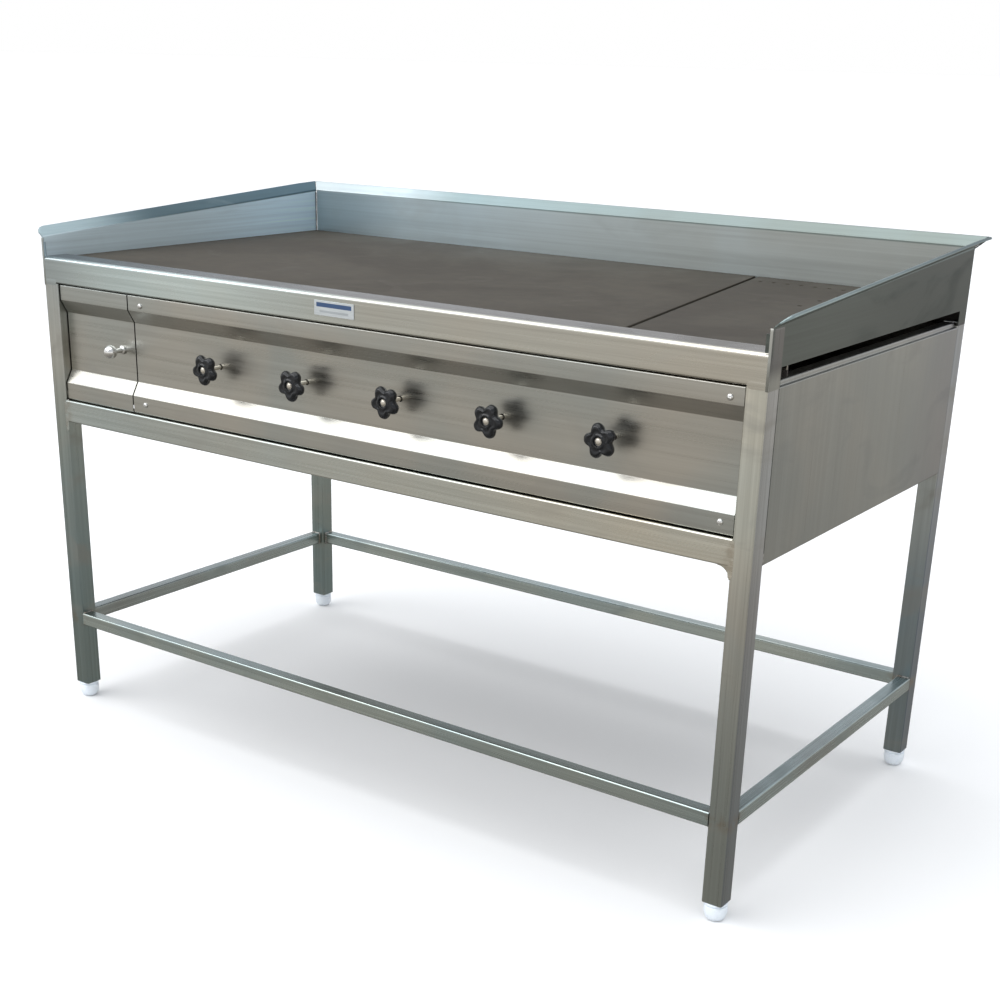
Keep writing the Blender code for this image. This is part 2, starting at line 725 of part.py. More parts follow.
def drawer():
    start, end = LEG + WINDOW_SIDE_GAP, DRAWER_SEAM - DRAWER_SEAM_GAP / 2
    keep(folded("drawer_front", front_profile(), start, end, "X", -1), PANEL_STEEL)

    near = PANEL_FACE + SHEET + GAP
    low = (start + TRAY_SIDE_GAP, near, TRAY_FLOOR_Z)
    high = (end - TRAY_SIDE_GAP, DEPTH - LEG - 2 * GAP, TRAY_FLOOR_Z + TRAY_HEIGHT)
    tray = box("drawer_tray", low, high)
    wall = TRAY_WALL
    inside_low = [a + wall for a in low]
    inside_high = (high[0] - wall, high[1] - wall, high[2] + wall)
    cut(tray, box("tray_hollow", inside_low, inside_high))
    keep(tray, INNER_STEEL)

    radius, stem, reach = DRAWER_KNOB_RADIUS, DRAWER_STEM_RADIUS, DRAWER_KNOB_STAND_OFF
    lowest = -math.degrees(math.acos(stem / radius))
    ball = arc((0, reach), radius, 90, lowest, 10)[1:]
    profile = [(0, reach + radius)] + ball + [(stem, 4 * MM), (stem + 3 * MM, 2 * MM), (stem + 3 * MM, 0), (0, 0)]
    knob = turned("drawer_knob", profile, 20)
    keep(along_y(knob, DRAWER_KNOB_X, PANEL_FACE - GAP, CONTROL_Z), SCREW_STEEL)

    wide, thick = RUNNER_WIDTH, RUNNER_THICKNESS
    runner_z = TRAY_FLOOR_Z - GAP
    x = SHEET + GAP + thick
    profile = [(x, runner_z + 20 * MM), (x, runner_z), (x + wide, runner_z)]
    near, far = LEG + 2 * GAP, DEPTH - LEG - 2 * GAP
    runner = folded("drawer_runner_left", rounded(profile, BEND), near, far, "Y", -1, thick)
    keep(runner, INNER_STEEL)


# ---------------------------------------------------------------- knobs, valves, gas and burners


def knob_outline(clockwise):
    """A five-lobed star, its first lobe turned from the top by an angle in degrees: round lobes and hollow waists."""
    points = []
    steps = KNOB_LOBES * 8
    mean, swing = (KNOB_RADIUS + KNOB_WAIST) / 2, (KNOB_RADIUS - KNOB_WAIST) / 2
    for i in range(steps):
        turn = 2 * math.pi * i / steps
        wave = math.cos(KNOB_LOBES * turn)
        radius = mean + swing * math.copysign(abs(wave) ** 0.8, wave)
        turn += math.radians(clockwise)
        points.append((radius * math.sin(turn), radius * math.cos(turn)))
    return points


def star_knob(i, x):
    lobes = flat(f"star_knob_{i}", [knob_outline(KNOB_TURNS[i - 1])], KNOB_THICKNESS, "XZ", at(x, KNOB_PLANE, CONTROL_Z))
    bevel(lobes, 4 * MM, 2, 50)
    overlap = 3 * MM
    reach = KNOB_THICKNESS / 2 + KNOB_HUB_LENGTH
    hub_profile = [(0, -KNOB_THICKNESS / 2 + overlap), (KNOB_HUB_RADIUS, -KNOB_THICKNESS / 2 + overlap)]
    hub_profile += [(KNOB_HUB_RADIUS * 0.75, -reach), (0, -reach)]
    join(lobes, along_y(turned(f"knob_hub_{i}", hub_profile, 16), x, KNOB_PLANE, CONTROL_Z))
    bore = cylinder(f"knob_bore_{i}", SPINDLE_RADIUS + GAP, 3 * reach, 16)
    cut(lobes, along_y(bore, x, KNOB_PLANE, CONTROL_Z))
    recess = cylinder(f"knob_recess_{i}", KNOB_RECESS_RADIUS, 2 * KNOB_RECESS_DEPTH, 16)
    cut(lobes, along_y(recess, x, KNOB_FRONT, CONTROL_Z))
    keep(smooth(lobes), BAKELITE)


def spindle(i, x):
    """The valve's spindle, with the brass head that holds the knob on it. Its origin is on the knob's axis."""
    head = SPINDLE_HEAD_RADIUS
    floor = KNOB_THICKNESS / 2 - KNOB_RECESS_DEPTH + GAP
    rear = -(VALVE_FRONT - KNOB_PLANE + VALVE_LENGTH * 0.6)
    profile = [(0, floor + 2.5 * MM), (head, floor + 2 * MM), (head, floor), (SPINDLE_RADIUS, floor)]
    profile += [(SPINDLE_RADIUS, rear), (0, rear)]
    keep(along_y(turned(f"valve_spindle_{i}", profile, 16), x, KNOB_PLANE, CONTROL_Z), BRASS)


def valve(i, x):
    """Bonnet nut, body, injector to the rear and inlet stub down to the manifold."""
    nut, body, jet = VALVE_NUT_RADIUS, VALVE_BODY_RADIUS, INJECTOR_RADIUS
    step, end = -14 * MM, -VALVE_LENGTH
    profile = [(0, 0), (nut, 0), (nut, step), (body, step), (body, end), (jet, end - 4 * MM)]
    profile += [(jet, end - INJECTOR_LENGTH), (0, end - INJECTOR_LENGTH)]
    obj = along_y(turned(f"valve_body_{i}", profile, 16), x, VALVE_FRONT, CONTROL_Z)
    stub_length = CONTROL_Z - MANIFOLD_Z - MANIFOLD_RADIUS - GAP
    stub = cylinder(f"inlet_stub_{i}", 8 * MM, stub_length, 16)
    stub.location = at(x, MANIFOLD_Y, CONTROL_Z - stub_length / 2)
    join(obj, stub)
    bore_length = VALVE_LENGTH * 0.6 + GAP
    bore = cylinder(f"valve_bore_{i}", SPINDLE_RADIUS + GAP, 2 * bore_length, 16)
    cut(obj, along_y(bore, x, VALVE_FRONT, CONTROL_Z))
    keep(obj, BRASS)


def gas_pipes():
    """The manifold along the valves, its feed pipe bent back through the rear panel, and the inlet union on its end."""
    corner = (FEED_X + FEED_BEND, MANIFOLD_Y + FEED_BEND)
    bend = arc(corner, FEED_BEND, -90, -180, 6)
    rear = DEPTH + 14 * MM
    line = [(MANIFOLD_RIGHT, MANIFOLD_Y)] + bend + [(FEED_X, rear)]
    points = [at(x, y, MANIFOLD_Z) for x, y in line]
    keep(pipe("gas_manifold", points, MANIFOLD_RADIUS), PIPE)

    length = 16 * MM
    y = DEPTH + GAP + length / 2
    union = along_y(cylinder("gas_inlet_union", UNION_RADIUS, length, 6), FEED_X, y, MANIFOLD_Z)
    bore = cylinder("union_bore", MANIFOLD_RADIUS + GAP, 2 * length)
    cut(union, along_y(bore, FEED_X, y, MANIFOLD_Z))
    keep(union, BRASS)


def burner(i, x):
    """A pipe burner: mouth, throat, then a straight pipe with slotted ports on top and a closed rear end."""
    wall, pipe_radius = BURNER_WALL, BURNER_RADIUS
    length = BURNER_REAR - BURNER_FRONT
    mouth, throat = BURNER_MOUTH, BURNER_THROAT + BURNER_WALL
    stations = [(mouth, 0), (throat, -30 * MM), (throat, -60 * MM), (pipe_radius, -110 * MM), (pipe_radius, -length)]
    inner = [(r - wall, z) for r, z in stations[:-1]] + [(pipe_radius - wall, wall - length)]
    profile = [(0, wall - length)] + inner[::-1] + stations + [(0, -length)]
    obj = along_y(turned(f"burner_{i}", profile, 16), x, BURNER_FRONT, CONTROL_Z)
    wide, long = PORT_SIZE
    first, last = BURNER_FRONT + 150 * MM, BURNER_REAR - 30 * MM
    for port in range(PORT_COUNT):
        y = first + (last - first) * port / (PORT_COUNT - 1)
        low = (x - wide / 2, y - long / 2, CONTROL_Z + pipe_radius / 2)
        high = (x + wide / 2, y + long / 2, CONTROL_Z + 2 * pipe_radius)
        cut(obj, box(f"port_{i}_{port + 1}", low, high))
    keep(obj, CAST_IRON)


def burner_rests():
    """Two folded strips across the floor pan, one under the throats and one under the rear ends of the burners."""
    floor = PAN_Z + SHEET + GAP
    start, end = BURNER_XS[0] - REST_OVERHANG, BURNER_XS[-1] + REST_OVERHANG
    throat = BURNER_THROAT + BURNER_WALL
    for name, y, radius in (("front", FRONT_REST_Y, throat), ("rear", REAR_REST_Y, BURNER_RADIUS)):
        top = CONTROL_Z - radius - GAP
        profile = [(y - REST_FOOT, floor), (y, floor), (y, top)]
        rest = folded(f"burner_rest_{name}", rounded(profile, BEND), start, end, "X", -1, 2 * SHEET)
        keep(rest, INNER_STEEL)


stand()
front_lower_rail()
front_fascia()
side_panel("side_panel_left", 0, 1)
side_panel("side_panel_right", WIDTH, -1)
rear_panel()
floor_pan()
drawer_partition()
side_guard("guard_left", SHEET, -1)
side_guard("guard_right", WIDTH - SHEET, 1)
rear_guard()
plates()
plate_frame()
drain_gutter()
control_panel()
panel_screws()
nameplate()
drawer()
for number, place in enumerate(BURNER_XS, 1):
    star_knob(number, place)
    spindle(number, place)
    valve(number, place)
    burner(number, place)
gas_pipes()
burner_rests()
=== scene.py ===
"""Looks of the flat top griddle: finishes for the CAD nodes, and finely shaped pieces for the plain ones.

Metres, in the CAD's own frame: +X right, +Y to the rear, +Z up. The object's places come from the CAD
nodes' boxes and joints, with small offsets from them.
"""

import json
import math

import bmesh
import bpy
from mathutils import Matrix, Vector, noise

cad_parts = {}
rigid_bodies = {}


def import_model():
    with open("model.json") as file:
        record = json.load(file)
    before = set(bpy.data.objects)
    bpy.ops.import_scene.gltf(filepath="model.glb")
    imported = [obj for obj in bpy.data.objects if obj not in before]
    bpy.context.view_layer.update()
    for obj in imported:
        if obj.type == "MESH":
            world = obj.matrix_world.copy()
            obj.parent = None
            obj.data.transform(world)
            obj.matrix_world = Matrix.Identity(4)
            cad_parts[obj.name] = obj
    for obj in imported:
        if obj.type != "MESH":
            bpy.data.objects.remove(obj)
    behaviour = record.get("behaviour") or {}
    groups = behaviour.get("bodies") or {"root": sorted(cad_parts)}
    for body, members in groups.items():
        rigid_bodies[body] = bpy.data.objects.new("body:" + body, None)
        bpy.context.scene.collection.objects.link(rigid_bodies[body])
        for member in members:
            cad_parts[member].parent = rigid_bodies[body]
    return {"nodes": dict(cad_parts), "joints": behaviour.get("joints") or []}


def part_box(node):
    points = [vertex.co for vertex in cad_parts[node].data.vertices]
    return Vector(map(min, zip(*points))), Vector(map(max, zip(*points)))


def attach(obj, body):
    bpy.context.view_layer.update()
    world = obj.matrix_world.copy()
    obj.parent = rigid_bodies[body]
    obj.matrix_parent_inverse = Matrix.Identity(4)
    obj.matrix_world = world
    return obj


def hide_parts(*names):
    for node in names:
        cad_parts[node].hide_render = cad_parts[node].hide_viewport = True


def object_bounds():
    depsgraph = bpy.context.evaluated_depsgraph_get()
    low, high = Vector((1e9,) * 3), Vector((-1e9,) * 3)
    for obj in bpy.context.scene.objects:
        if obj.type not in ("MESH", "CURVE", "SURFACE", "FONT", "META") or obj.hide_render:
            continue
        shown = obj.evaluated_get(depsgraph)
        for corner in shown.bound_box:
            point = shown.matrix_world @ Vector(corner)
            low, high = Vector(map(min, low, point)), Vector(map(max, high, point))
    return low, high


for startup in list(bpy.data.objects):
    bpy.data.objects.remove(startup, do_unlink=True)

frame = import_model()
CAD_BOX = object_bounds()

MM = 0.001
KNOBS = range(1, 6)
KNOB_TURNS = (-30, -39, -30, -50, -16)
CORNERS = [f"{end}_{side}" for end in ("front", "rear") for side in ("left", "right")]

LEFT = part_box("leg_front_left")[0].x
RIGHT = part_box("leg_front_right")[1].x
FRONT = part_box("leg_front_left")[0].y
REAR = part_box("leg_rear_left")[1].y
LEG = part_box("leg_front_left")[1].x - LEFT
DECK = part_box("front_fascia")[1].z
LEG_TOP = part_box("leg_front_left")[1].z
SHEET = 1.5 * MM

# The guards' kink: its height over the deck at the front, and its slope to the rear
LIP_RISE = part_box("guard_rear")[1].z - DECK
LIP_HEIGHT = 20 * MM
KINK_RISE = 35 * MM
KINK_FRONT = DECK + KINK_RISE
KINK_SLOPE = (LIP_RISE - LIP_HEIGHT - KINK_RISE) / (REAR - FRONT)

# The camera: place from the foot of the front left leg, angles in radians, and lens in sensor widths
CAMERA_AWAY = (2.3973, -1.9240, 1.2404)
CAMERA_FOOT = 10 * MM
CAMERA_AZIMUTH, CAMERA_ELEVATION, CAMERA_ROLL = 0.6169, 0.3798, 0.0242
CAMERA_LENS = 1.5357
CAMERA_SHIFT = (0.0182, 0.1728)


# ---------------------------------------------------------------- node trees


class Tree:
    """One material's node tree, built a node at a time. Sockets and plain values are both taken as inputs."""

    def __init__(self, name):
        self.material = bpy.data.materials.new(name)
        self.material.use_nodes = True
        self.nodes = self.material.node_tree.nodes
        self.links = self.material.node_tree.links
        self.shader = self.nodes["Principled BSDF"]
        self.place = self.nodes.new("ShaderNodeTexCoord").outputs["Object"]

    def put(self, socket, value):
        if isinstance(value, bpy.types.NodeSocket):
            self.links.new(value, socket)
        elif isinstance(value, tuple) and len(value) == 3 and socket.type == "RGBA":
            socket.default_value = (*value, 1)
        else:
            socket.default_value = value

    def add(self, kind, settings, *inputs):
        node = self.nodes.new("ShaderNode" + kind)
        for key, value in settings.items():
            setattr(node, key, value)
        for key, value in inputs:
            self.put(node.inputs[key], value)
        return node

    def maths(self, operation, a, b=0.0, clamp=False):
        settings = {"operation": operation, "use_clamp": clamp}
        return self.add("Math", settings, (0, a), (1, b)).outputs[0]

    def stretched(self, stretch, shift=(0, 0, 0), turn=(0, 0, 0)):
        inputs = [("Vector", self.place), ("Location", shift), ("Rotation", turn), ("Scale", stretch)]
        return self.add("Mapping", {}, *inputs).outputs[0]

    def noise(self, scale, detail=3.0, stretch=(1, 1, 1), shift=(0, 0, 0), turn=(0, 0, 0), distortion=0.0):
        inputs = [("Vector", self.stretched(stretch, shift, turn)), ("Scale", scale), ("Detail", detail)]
        inputs.append(("Distortion", distortion))
        return self.add("TexNoise", {}, *inputs).outputs["Fac"]

    def cells(self, scale, stretch=(1, 1, 1), feature="F1"):
        inputs = [("Vector", self.stretched(stretch)), ("Scale", scale)]
        return self.add("TexVoronoi", {"feature": feature}, *inputs).outputs["Distance"]

    def span(self, value, low, high, to_low=0.0, to_high=1.0, smooth=True):
        """Value taken from between two limits to between two others."""
        settings = {"interpolation_type": "SMOOTHSTEP" if smooth else "LINEAR"}
        inputs = [("Value", value), ("From Min", low), ("From Max", high)]
        inputs += [("To Min", to_low), ("To Max", to_high)]
        return self.add("MapRange", settings, *inputs).outputs[0]

    def mix(self, share, a, b, way="MIX"):
        node = self.add("Mix", {"data_type": "RGBA", "blend_type": way})
        for socket, value in zip((node.inputs[0], node.inputs[6], node.inputs[7]), (share, a, b)):
            self.put(socket, value)
        return node.outputs[2]

    def axis(self, letter):
        return self.add("SeparateXYZ", {}, (0, self.place)).outputs["XYZ".index(letter)]

    def tinted(self, colour, tints):
        """The colour multiplied by each tint's own colour, as far as its mask reaches."""
        for mask, tint in tints:
            factor = self.mix(mask(self), (1.0, 1.0, 1.0), tint)
            colour = self.mix(1.0, colour, factor, "MULTIPLY")
        return colour

    def near(self, letter, place, reach):
        """1 at a place along an axis, falling to 0 at a distance."""
        away = self.maths("ABSOLUTE", self.maths("SUBTRACT", self.axis(letter), place))
        return self.span(away, 0.0, reach, 1.0, 0.0)

    def bump(self, height, strength, distance, under=None):
        inputs = [("Height", height), ("Strength", strength), ("Distance", distance)]
        if under is not None:
            inputs.append(("Normal", under))
        return self.add("Bump", {}, *inputs).outputs[0]

    def finish(self, colour, metallic, roughness, normal=None):
        self.put(self.shader.inputs["Base Color"], colour)
        self.put(self.shader.inputs["Roughness"], roughness)
        self.shader.inputs["Metallic"].default_value = metallic
        if normal is not None:
            self.put(self.shader.inputs["Normal"], normal)
        return self.material


def ramp(letter, start, end):
    """A mask that grows from 0 to 1 between two places along an axis."""
    return lambda tree: tree.span(tree.axis(letter), start, end)


def band(letter, place, reach):
    """A mask that is 1 at a place along an axis and 0 at a distance."""
    return lambda tree: tree.near(letter, place, reach)


def lip(tree):
    """A mask over the flared lip of the guards."""
    behind = tree.maths("SUBTRACT", tree.axis("Y"), FRONT)
    kink = tree.maths("ADD", tree.maths("MULTIPLY", behind, KINK_SLOPE), KINK_FRONT)
    return tree.span(tree.maths("SUBTRACT", tree.axis("Z"), kink), -1 * MM, 2 * MM)


def overlap(*masks):
    """Several masks multiplied."""

    def product(tree):
        value = masks[0](tree)
        for mask in masks[1:]:
            value = tree.maths("MULTIPLY", value, mask(tree))
        return value

    return product


ALONG = {"X": (1, 0, 0), "Y": (0, 1, 0), "Z": (0, 0, 1)}
# Waves per metre across and along the brushing
FINE_GRAIN = (1500, 9)
COARSE_GRAIN = (170, 1.6)
DRIFT_SHARE = 0.72
SOIL_SHADE = 0.62
HEAT_TINT = (0.24, 0.17, 0.10)
HEAT_REACH = 26 * MM
HEAT_SHARE = 0.38
BRUSHED_ANISOTROPY = 0.45


def brushed(
    name,
    cool,
    warm,
    grain,
    roughness,
    *,
    drift=None,
    welds=(),
    soil=0.25,
    streak=0.16,
    tints=(),
    metallic=1.0,
):
    """Satin stainless sheet. grain is the axis the sheet was brushed along.

    drift is (axis, start, end): the tone goes from cool to warm between those places, with cloudy variation.
    The drift is a painted reflection: the change of hue across the sheet stands for what the steel reflects.
    welds lists (axis, place) where the heat of a weld has tinted the steel.
    soil is how far smears dull the steel, and streak how far its tone varies across the grain.
    tints lists (mask, colour) to multiply the steel by: painted shade, painted highlights and painted
    reflections, and on the legs a dark seam line.
    """
    tree = Tree(name)
    along = Vector(ALONG[grain])
    across = Vector((1, 1, 1)) - along
    fine = tree.noise(1.0, 2.0, tuple(across * FINE_GRAIN[0] + along * FINE_GRAIN[1]))
    coarse = tree.noise(1.0, 4.0, tuple(across * COARSE_GRAIN[0] + along * COARSE_GRAIN[1]), (3, 5, 7))
    cloud = tree.noise(3.2, 3.0, shift=(1.7, 4.1, 2.3), distortion=0.6)
    wipe = tree.noise(2.0, 4.0, (2.2, 2.2, 5.5), (8.2, 1.3, 0.4), (0.3, 0.5, 0.4), 1.4)
    tone = tree.span(cloud, 0.3, 0.7)
    if drift:
        drifted = tree.maths("MULTIPLY", tree.span(tree.axis(drift[0]), drift[1], drift[2]), DRIFT_SHARE)
        tone = tree.maths("ADD", drifted, tree.maths("MULTIPLY", tone, 1 - DRIFT_SHARE))
    colour = tree.mix(tone, cool, warm)
    lines = tree.maths("ADD", tree.maths("MULTIPLY", coarse, 0.7), tree.maths("MULTIPLY", fine, 0.3))
    shade = tree.span(lines, 0.3, 0.7, 1 - streak, 1 + streak, False)
    grey = tree.add("CombineColor", {}, (0, shade), (1, shade), (2, shade)).outputs[0]
    colour = tree.mix(1.0, colour, grey, "MULTIPLY")
    smear = tree.span(wipe, 0.52, 0.72)
    colour = tree.tinted(colour, tints)
    dull = tree.maths("MULTIPLY", smear, soil)
    colour = tree.mix(dull, colour, tuple(SOIL_SHADE * c for c in warm))
    if welds:
        burnt = None
        for letter, place in welds:
            spot = tree.near(letter, place, HEAT_REACH)
            burnt = spot if burnt is None else tree.maths("MAXIMUM", burnt, spot)
        ragged = tree.span(tree.noise(60.0, 3.0, shift=(2, 9, 4)), 0.36, 0.62)
        burnt = tree.maths("MULTIPLY", tree.maths("POWER", burnt, 1.6), ragged)
        colour = tree.mix(tree.maths("MULTIPLY", burnt, HEAT_SHARE), colour, HEAT_TINT)
    rough = tree.span(lines, 0.3, 0.7, roughness - 0.05, roughness + 0.06, False)
    rough = tree.maths("ADD", rough, tree.maths("MULTIPLY", smear, 0.10))
    normal = tree.bump(fine, 0.18, 0.04 * MM)
    normal = tree.bump(coarse, 0.10, 0.12 * MM, normal)
    wave = tree.noise(4.5, 1.0, shift=(6, 2, 8))
    normal = tree.bump(wave, 0.12, 2.5 * MM, normal)
    tree.shader.inputs["Anisotropic"].default_value = BRUSHED_ANISOTROPY
    way = tree.add("CombineXYZ", {}, *enumerate(ALONG[grain])).outputs[0]
    tree.put(tree.shader.inputs["Tangent"], way)
    return tree.finish(colour, metallic, rough, normal)


def hot_rolled(name, light, dark, turn):
    """Blackened griddle plate: mill scale in patches, faint grinding lines, and a matt, baked-on film."""
    tree = Tree(name)
    patch = tree.span(tree.noise(3.4, 6.0, distortion=0.8), 0.34, 0.66)
    scale = tree.span(tree.noise(38.0, 5.0, shift=(4, 4, 4)), 0.4, 0.62)
    lines = tree.noise(1.0, 3.0, (14, 420, 60), turn=(0, 0, turn))
    film = tree.span(tree.noise(9.0, 3.0, shift=(7, 1, 3), distortion=1.2), 0.55, 0.75)
    colour = tree.mix(patch, dark, light)
    colour = tree.mix(tree.maths("MULTIPLY", scale, 0.35), colour, tuple(0.72 * c for c in dark))
    shade = tree.span(lines, 0.3, 0.7, 0.90, 1.10, False)
    grey = tree.add("CombineColor", {}, (0, shade), (1, shade), (2, shade)).outputs[0]
    colour = tree.mix(1.0, colour, grey, "MULTIPLY")
    colour = tree.mix(tree.maths("MULTIPLY", film, 0.3), colour, (0.052, 0.040, 0.028))
    rough = tree.span(patch, 0.0, 1.0, 0.66, 0.60)
    rough = tree.maths("SUBTRACT", rough, tree.maths("MULTIPLY", film, 0.05))
    tree.shader.inputs["Specular IOR Level"].default_value = 0.32
    pits = tree.span(tree.cells(420.0), 0.0, 0.35)
    normal = tree.bump(scale, 0.16, 0.15 * MM)
    normal = tree.bump(lines, 0.10, 0.12 * MM, normal)
    normal = tree.bump(pits, 0.12, 0.12 * MM, normal)
    return tree.finish(colour, 0.1, rough, normal)


def bakelite():
    """Pressed black phenolic: deep gloss, faint flow marks, a little grease and dust."""
    tree = Tree("black_bakelite")
    flow = tree.noise(60.0, 3.0, distortion=1.5)
    grease = tree.span(tree.noise(140.0, 4.0, shift=(3, 3, 1)), 0.5, 0.7)
    dust = tree.span(tree.noise(900.0, 2.0), 0.62, 0.74)
    colour = tree.mix(tree.span(flow, 0.35, 0.65), (0.004, 0.005, 0.006), (0.009, 0.010, 0.012))
    colour = tree.mix(tree.maths("MULTIPLY", dust, 0.12), colour, (0.16, 0.15, 0.14))
    rough = tree.span(grease, 0.0, 1.0, 0.10, 0.20)
    normal = tree.bump(flow, 0.10, 0.2 * MM)
    normal = tree.bump(grease, 0.05, 0.05 * MM, normal)
    tree.shader.inputs["Specular IOR Level"].default_value = 0.42
    return tree.finish(colour, 0.0, rough, normal)


def turned_metal(name, colour_a, colour_b, roughness):
    """Machined metal with fine tool marks and tarnish."""
    tree = Tree(name)
    tool = tree.noise(1.0, 2.0, (900, 3500, 900))
    tarnish = tree.span(tree.noise(160.0, 4.0, distortion=0.8), 0.4, 0.65)
    colour = tree.mix(tarnish, colour_a, colour_b)
    rough = tree.span(tarnish, 0.0, 1.0, roughness, roughness + 0.16)
    return tree.finish(colour, 1.0, rough, tree.bump(tool, 0.12, 0.05 * MM))


def cast_iron():
    """Sand-cast burner iron, with patches of rust."""
    tree = Tree("burner_iron")
    grit = tree.noise(260.0, 5.0)
    rust = tree.span(tree.noise(22.0, 5.0, distortion=0.6), 0.54, 0.70)
    colour = tree.mix(tree.span(grit, 0.35, 0.65), (0.035, 0.034, 0.034), (0.085, 0.082, 0.080))
    colour = tree.mix(tree.maths("MULTIPLY", rust, 0.55), colour, (0.16, 0.065, 0.028))
    rough = tree.span(grit, 0.3, 0.7, 0.62, 0.85)
    return tree.finish(colour, 0.4, rough, tree.bump(grit, 0.5, 0.4 * MM))


def galvanised():
    """Zinc-coated pipe with a faint spangle."""
    tree = Tree("gas_pipe")
    spangle = tree.cells(90.0)
    fleck = tree.noise(300.0, 3.0)
    colour = tree.mix(tree.span(spangle, 0.1, 0.8), (0.34, 0.35, 0.36), (0.50, 0.51, 0.52))
    colour = tree.mix(tree.span(fleck, 0.55, 0.75, 0.0, 0.3), colour, (0.62, 0.62, 0.60))
    rough = tree.span(spangle, 0.0, 0.8, 0.32, 0.5)
    return tree.finish(colour, 0.9, rough, tree.bump(fleck, 0.15, 0.1 * MM))


def nylon():
    """Moulded white foot, scuffed grey where it meets the floor."""
    tree = Tree("white_nylon")
    mould = tree.noise(700.0, 3.0)
    scuff = tree.span(tree.axis("Z"), 14 * MM, 0.0)
    scratch = tree.span(tree.noise(1.0, 4.0, (600, 600, 90), distortion=0.6), 0.48, 0.66)
    dirt = tree.maths("MULTIPLY", scuff, scratch)
    colour = tree.mix(tree.span(mould, 0.4, 0.6), (0.74, 0.80, 0.86), (0.80, 0.85, 0.90))
    colour = tree.mix(tree.maths("MULTIPLY", dirt, 0.5), colour, (0.34, 0.33, 0.31))
    rough = tree.span(dirt, 0.0, 1.0, 0.38, 0.7)
    tree.shader.inputs["Subsurface Weight"].default_value = 0.12
    tree.shader.inputs["Subsurface Radius"].default_value = (4 * MM, 4 * MM, 5 * MM)
    return tree.finish(colour, 0.0, rough, tree.bump(mould, 0.08, 0.1 * MM))


def label():
    """Anodised plate with two plain printed bars and no lettering."""
    tree = Tree("label_aluminium")
    low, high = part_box("nameplate")
    middle = (low + high) / 2
    size = high - low
    edge = 0.3 * MM
    grain = tree.noise(1.0, 2.0, (40, 40, 2600))

    def bar(height, thick, wide):
        up = tree.maths("ABSOLUTE", tree.maths("SUBTRACT", tree.axis("Z"), middle.z + height * size.z))
        side = tree.maths("ABSOLUTE", tree.maths("SUBTRACT", tree.axis("X"), middle.x))
        inside = tree.span(up, thick * size.z, thick * size.z + edge, 1.0, 0.0)
        return tree.maths("MULTIPLY", inside, tree.span(side, wide * size.x, wide * size.x + edge, 1.0, 0.0))

    colour = tree.mix(tree.span(grain, 0.3, 0.7), (0.52, 0.56, 0.58), (0.66, 0.70, 0.72))
    colour = tree.mix(bar(0.22, 0.14, 0.44), colour, (0.07, 0.12, 0.24))
    colour = tree.mix(tree.maths("MULTIPLY", bar(-0.22, 0.07, 0.36), 0.5), colour, (0.30, 0.33, 0.36))
    rough = tree.span(grain, 0.3, 0.7, 0.30, 0.42)
    return tree.finish(colour, 0.75, rough, tree.bump(grain, 0.1, 0.03 * MM))


def weld_metal(name, dark, light):
    """Rippled weld, with straw-coloured heat stains."""
    tree = Tree(name)
    stain = (0.6 * light[0], 0.6 * 0.7 * light[1], 0.6 * 0.45 * light[2])
    tone = tree.noise(240.0, 4.0)
    straw = tree.span(tree.noise(70.0, 3.0, shift=(5, 1, 2)), 0.42, 0.62)
    colour = tree.mix(tree.span(tone, 0.35, 0.65), dark, light)
    colour = tree.mix(tree.maths("MULTIPLY", straw, 0.5), colour, stain)
    return tree.finish(colour, 1.0, tree.span(tone, 0.3, 0.7, 0.28, 0.46), tree.bump(tone, 0.3, 0.15 * MM))


# Linear colours of the steel, sheet by sheet: where it looks cool, and where it looks warm. The sheets are
# all one steel, and their colours differ to stand for light and reflections, so they are painted light: the
# side panels and the right guard are darker copies for painted shade, and the guards' blue-green and beige
# are painted reflections.
COOL = (0.50, 0.56, 0.555)
WARM = (0.59, 0.55, 0.475)
PANEL_COOL = (0.42, 0.44, 0.42)
PANEL_WARM = (0.50, 0.475, 0.425)
LEG_COOL = (0.42, 0.45, 0.44)
LEG_WARM = (0.49, 0.475, 0.425)
STRETCHER_COOL = (0.40, 0.48, 0.49)
STRETCHER_WARM = (0.48, 0.53, 0.50)
SIDE_COOL = (0.29, 0.305, 0.295)
SIDE_WARM = (0.335, 0.335, 0.312)
GUARD_COOL = (0.60, 0.71, 0.755)
GUARD_WARM = (0.46, 0.485, 0.46)
GUARD_SHADE_DARK = (0.125, 0.142, 0.132)
INNER_COOL = (0.30, 0.31, 0.31)
INNER_WARM = (0.38, 0.36, 0.33)
# Near-black for the parts inside the box: soot and painted shade
SOOT_AND_SHADE_COOL = (0.045, 0.045, 0.045)
SOOT_AND_SHADE_WARM = (0.070, 0.062, 0.055)

STRETCHER_Z = sum(v.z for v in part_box("stretcher_front")) / 2
LEG_WELDS = [("Z", STRETCHER_Z)]
END_WELDS_X = [("X", LEFT + LEG), ("X", RIGHT - LEG)]
END_WELDS_Y = [("Y", FRONT + LEG), ("Y", REAR - LEG)]

# Heights over the floor between which the legs' painted shade and painted highlight fade in: all legs, the
# left ones, and two on the right. On all legs, the left ones and the rear right one the shade is darker and
# bluer lower down; on the front right one the highlight is lighter and warmer higher up
LEG_SHADE_FADE = (0.62, 0.12)
LEFT_LEG_SHADE_FADE = (0.75, 0.55)
FRONT_RIGHT_HIGHLIGHT_FADE = (0.5, 0.65)
REAR_RIGHT_SHADE_FADE = (0.7, 0.3)
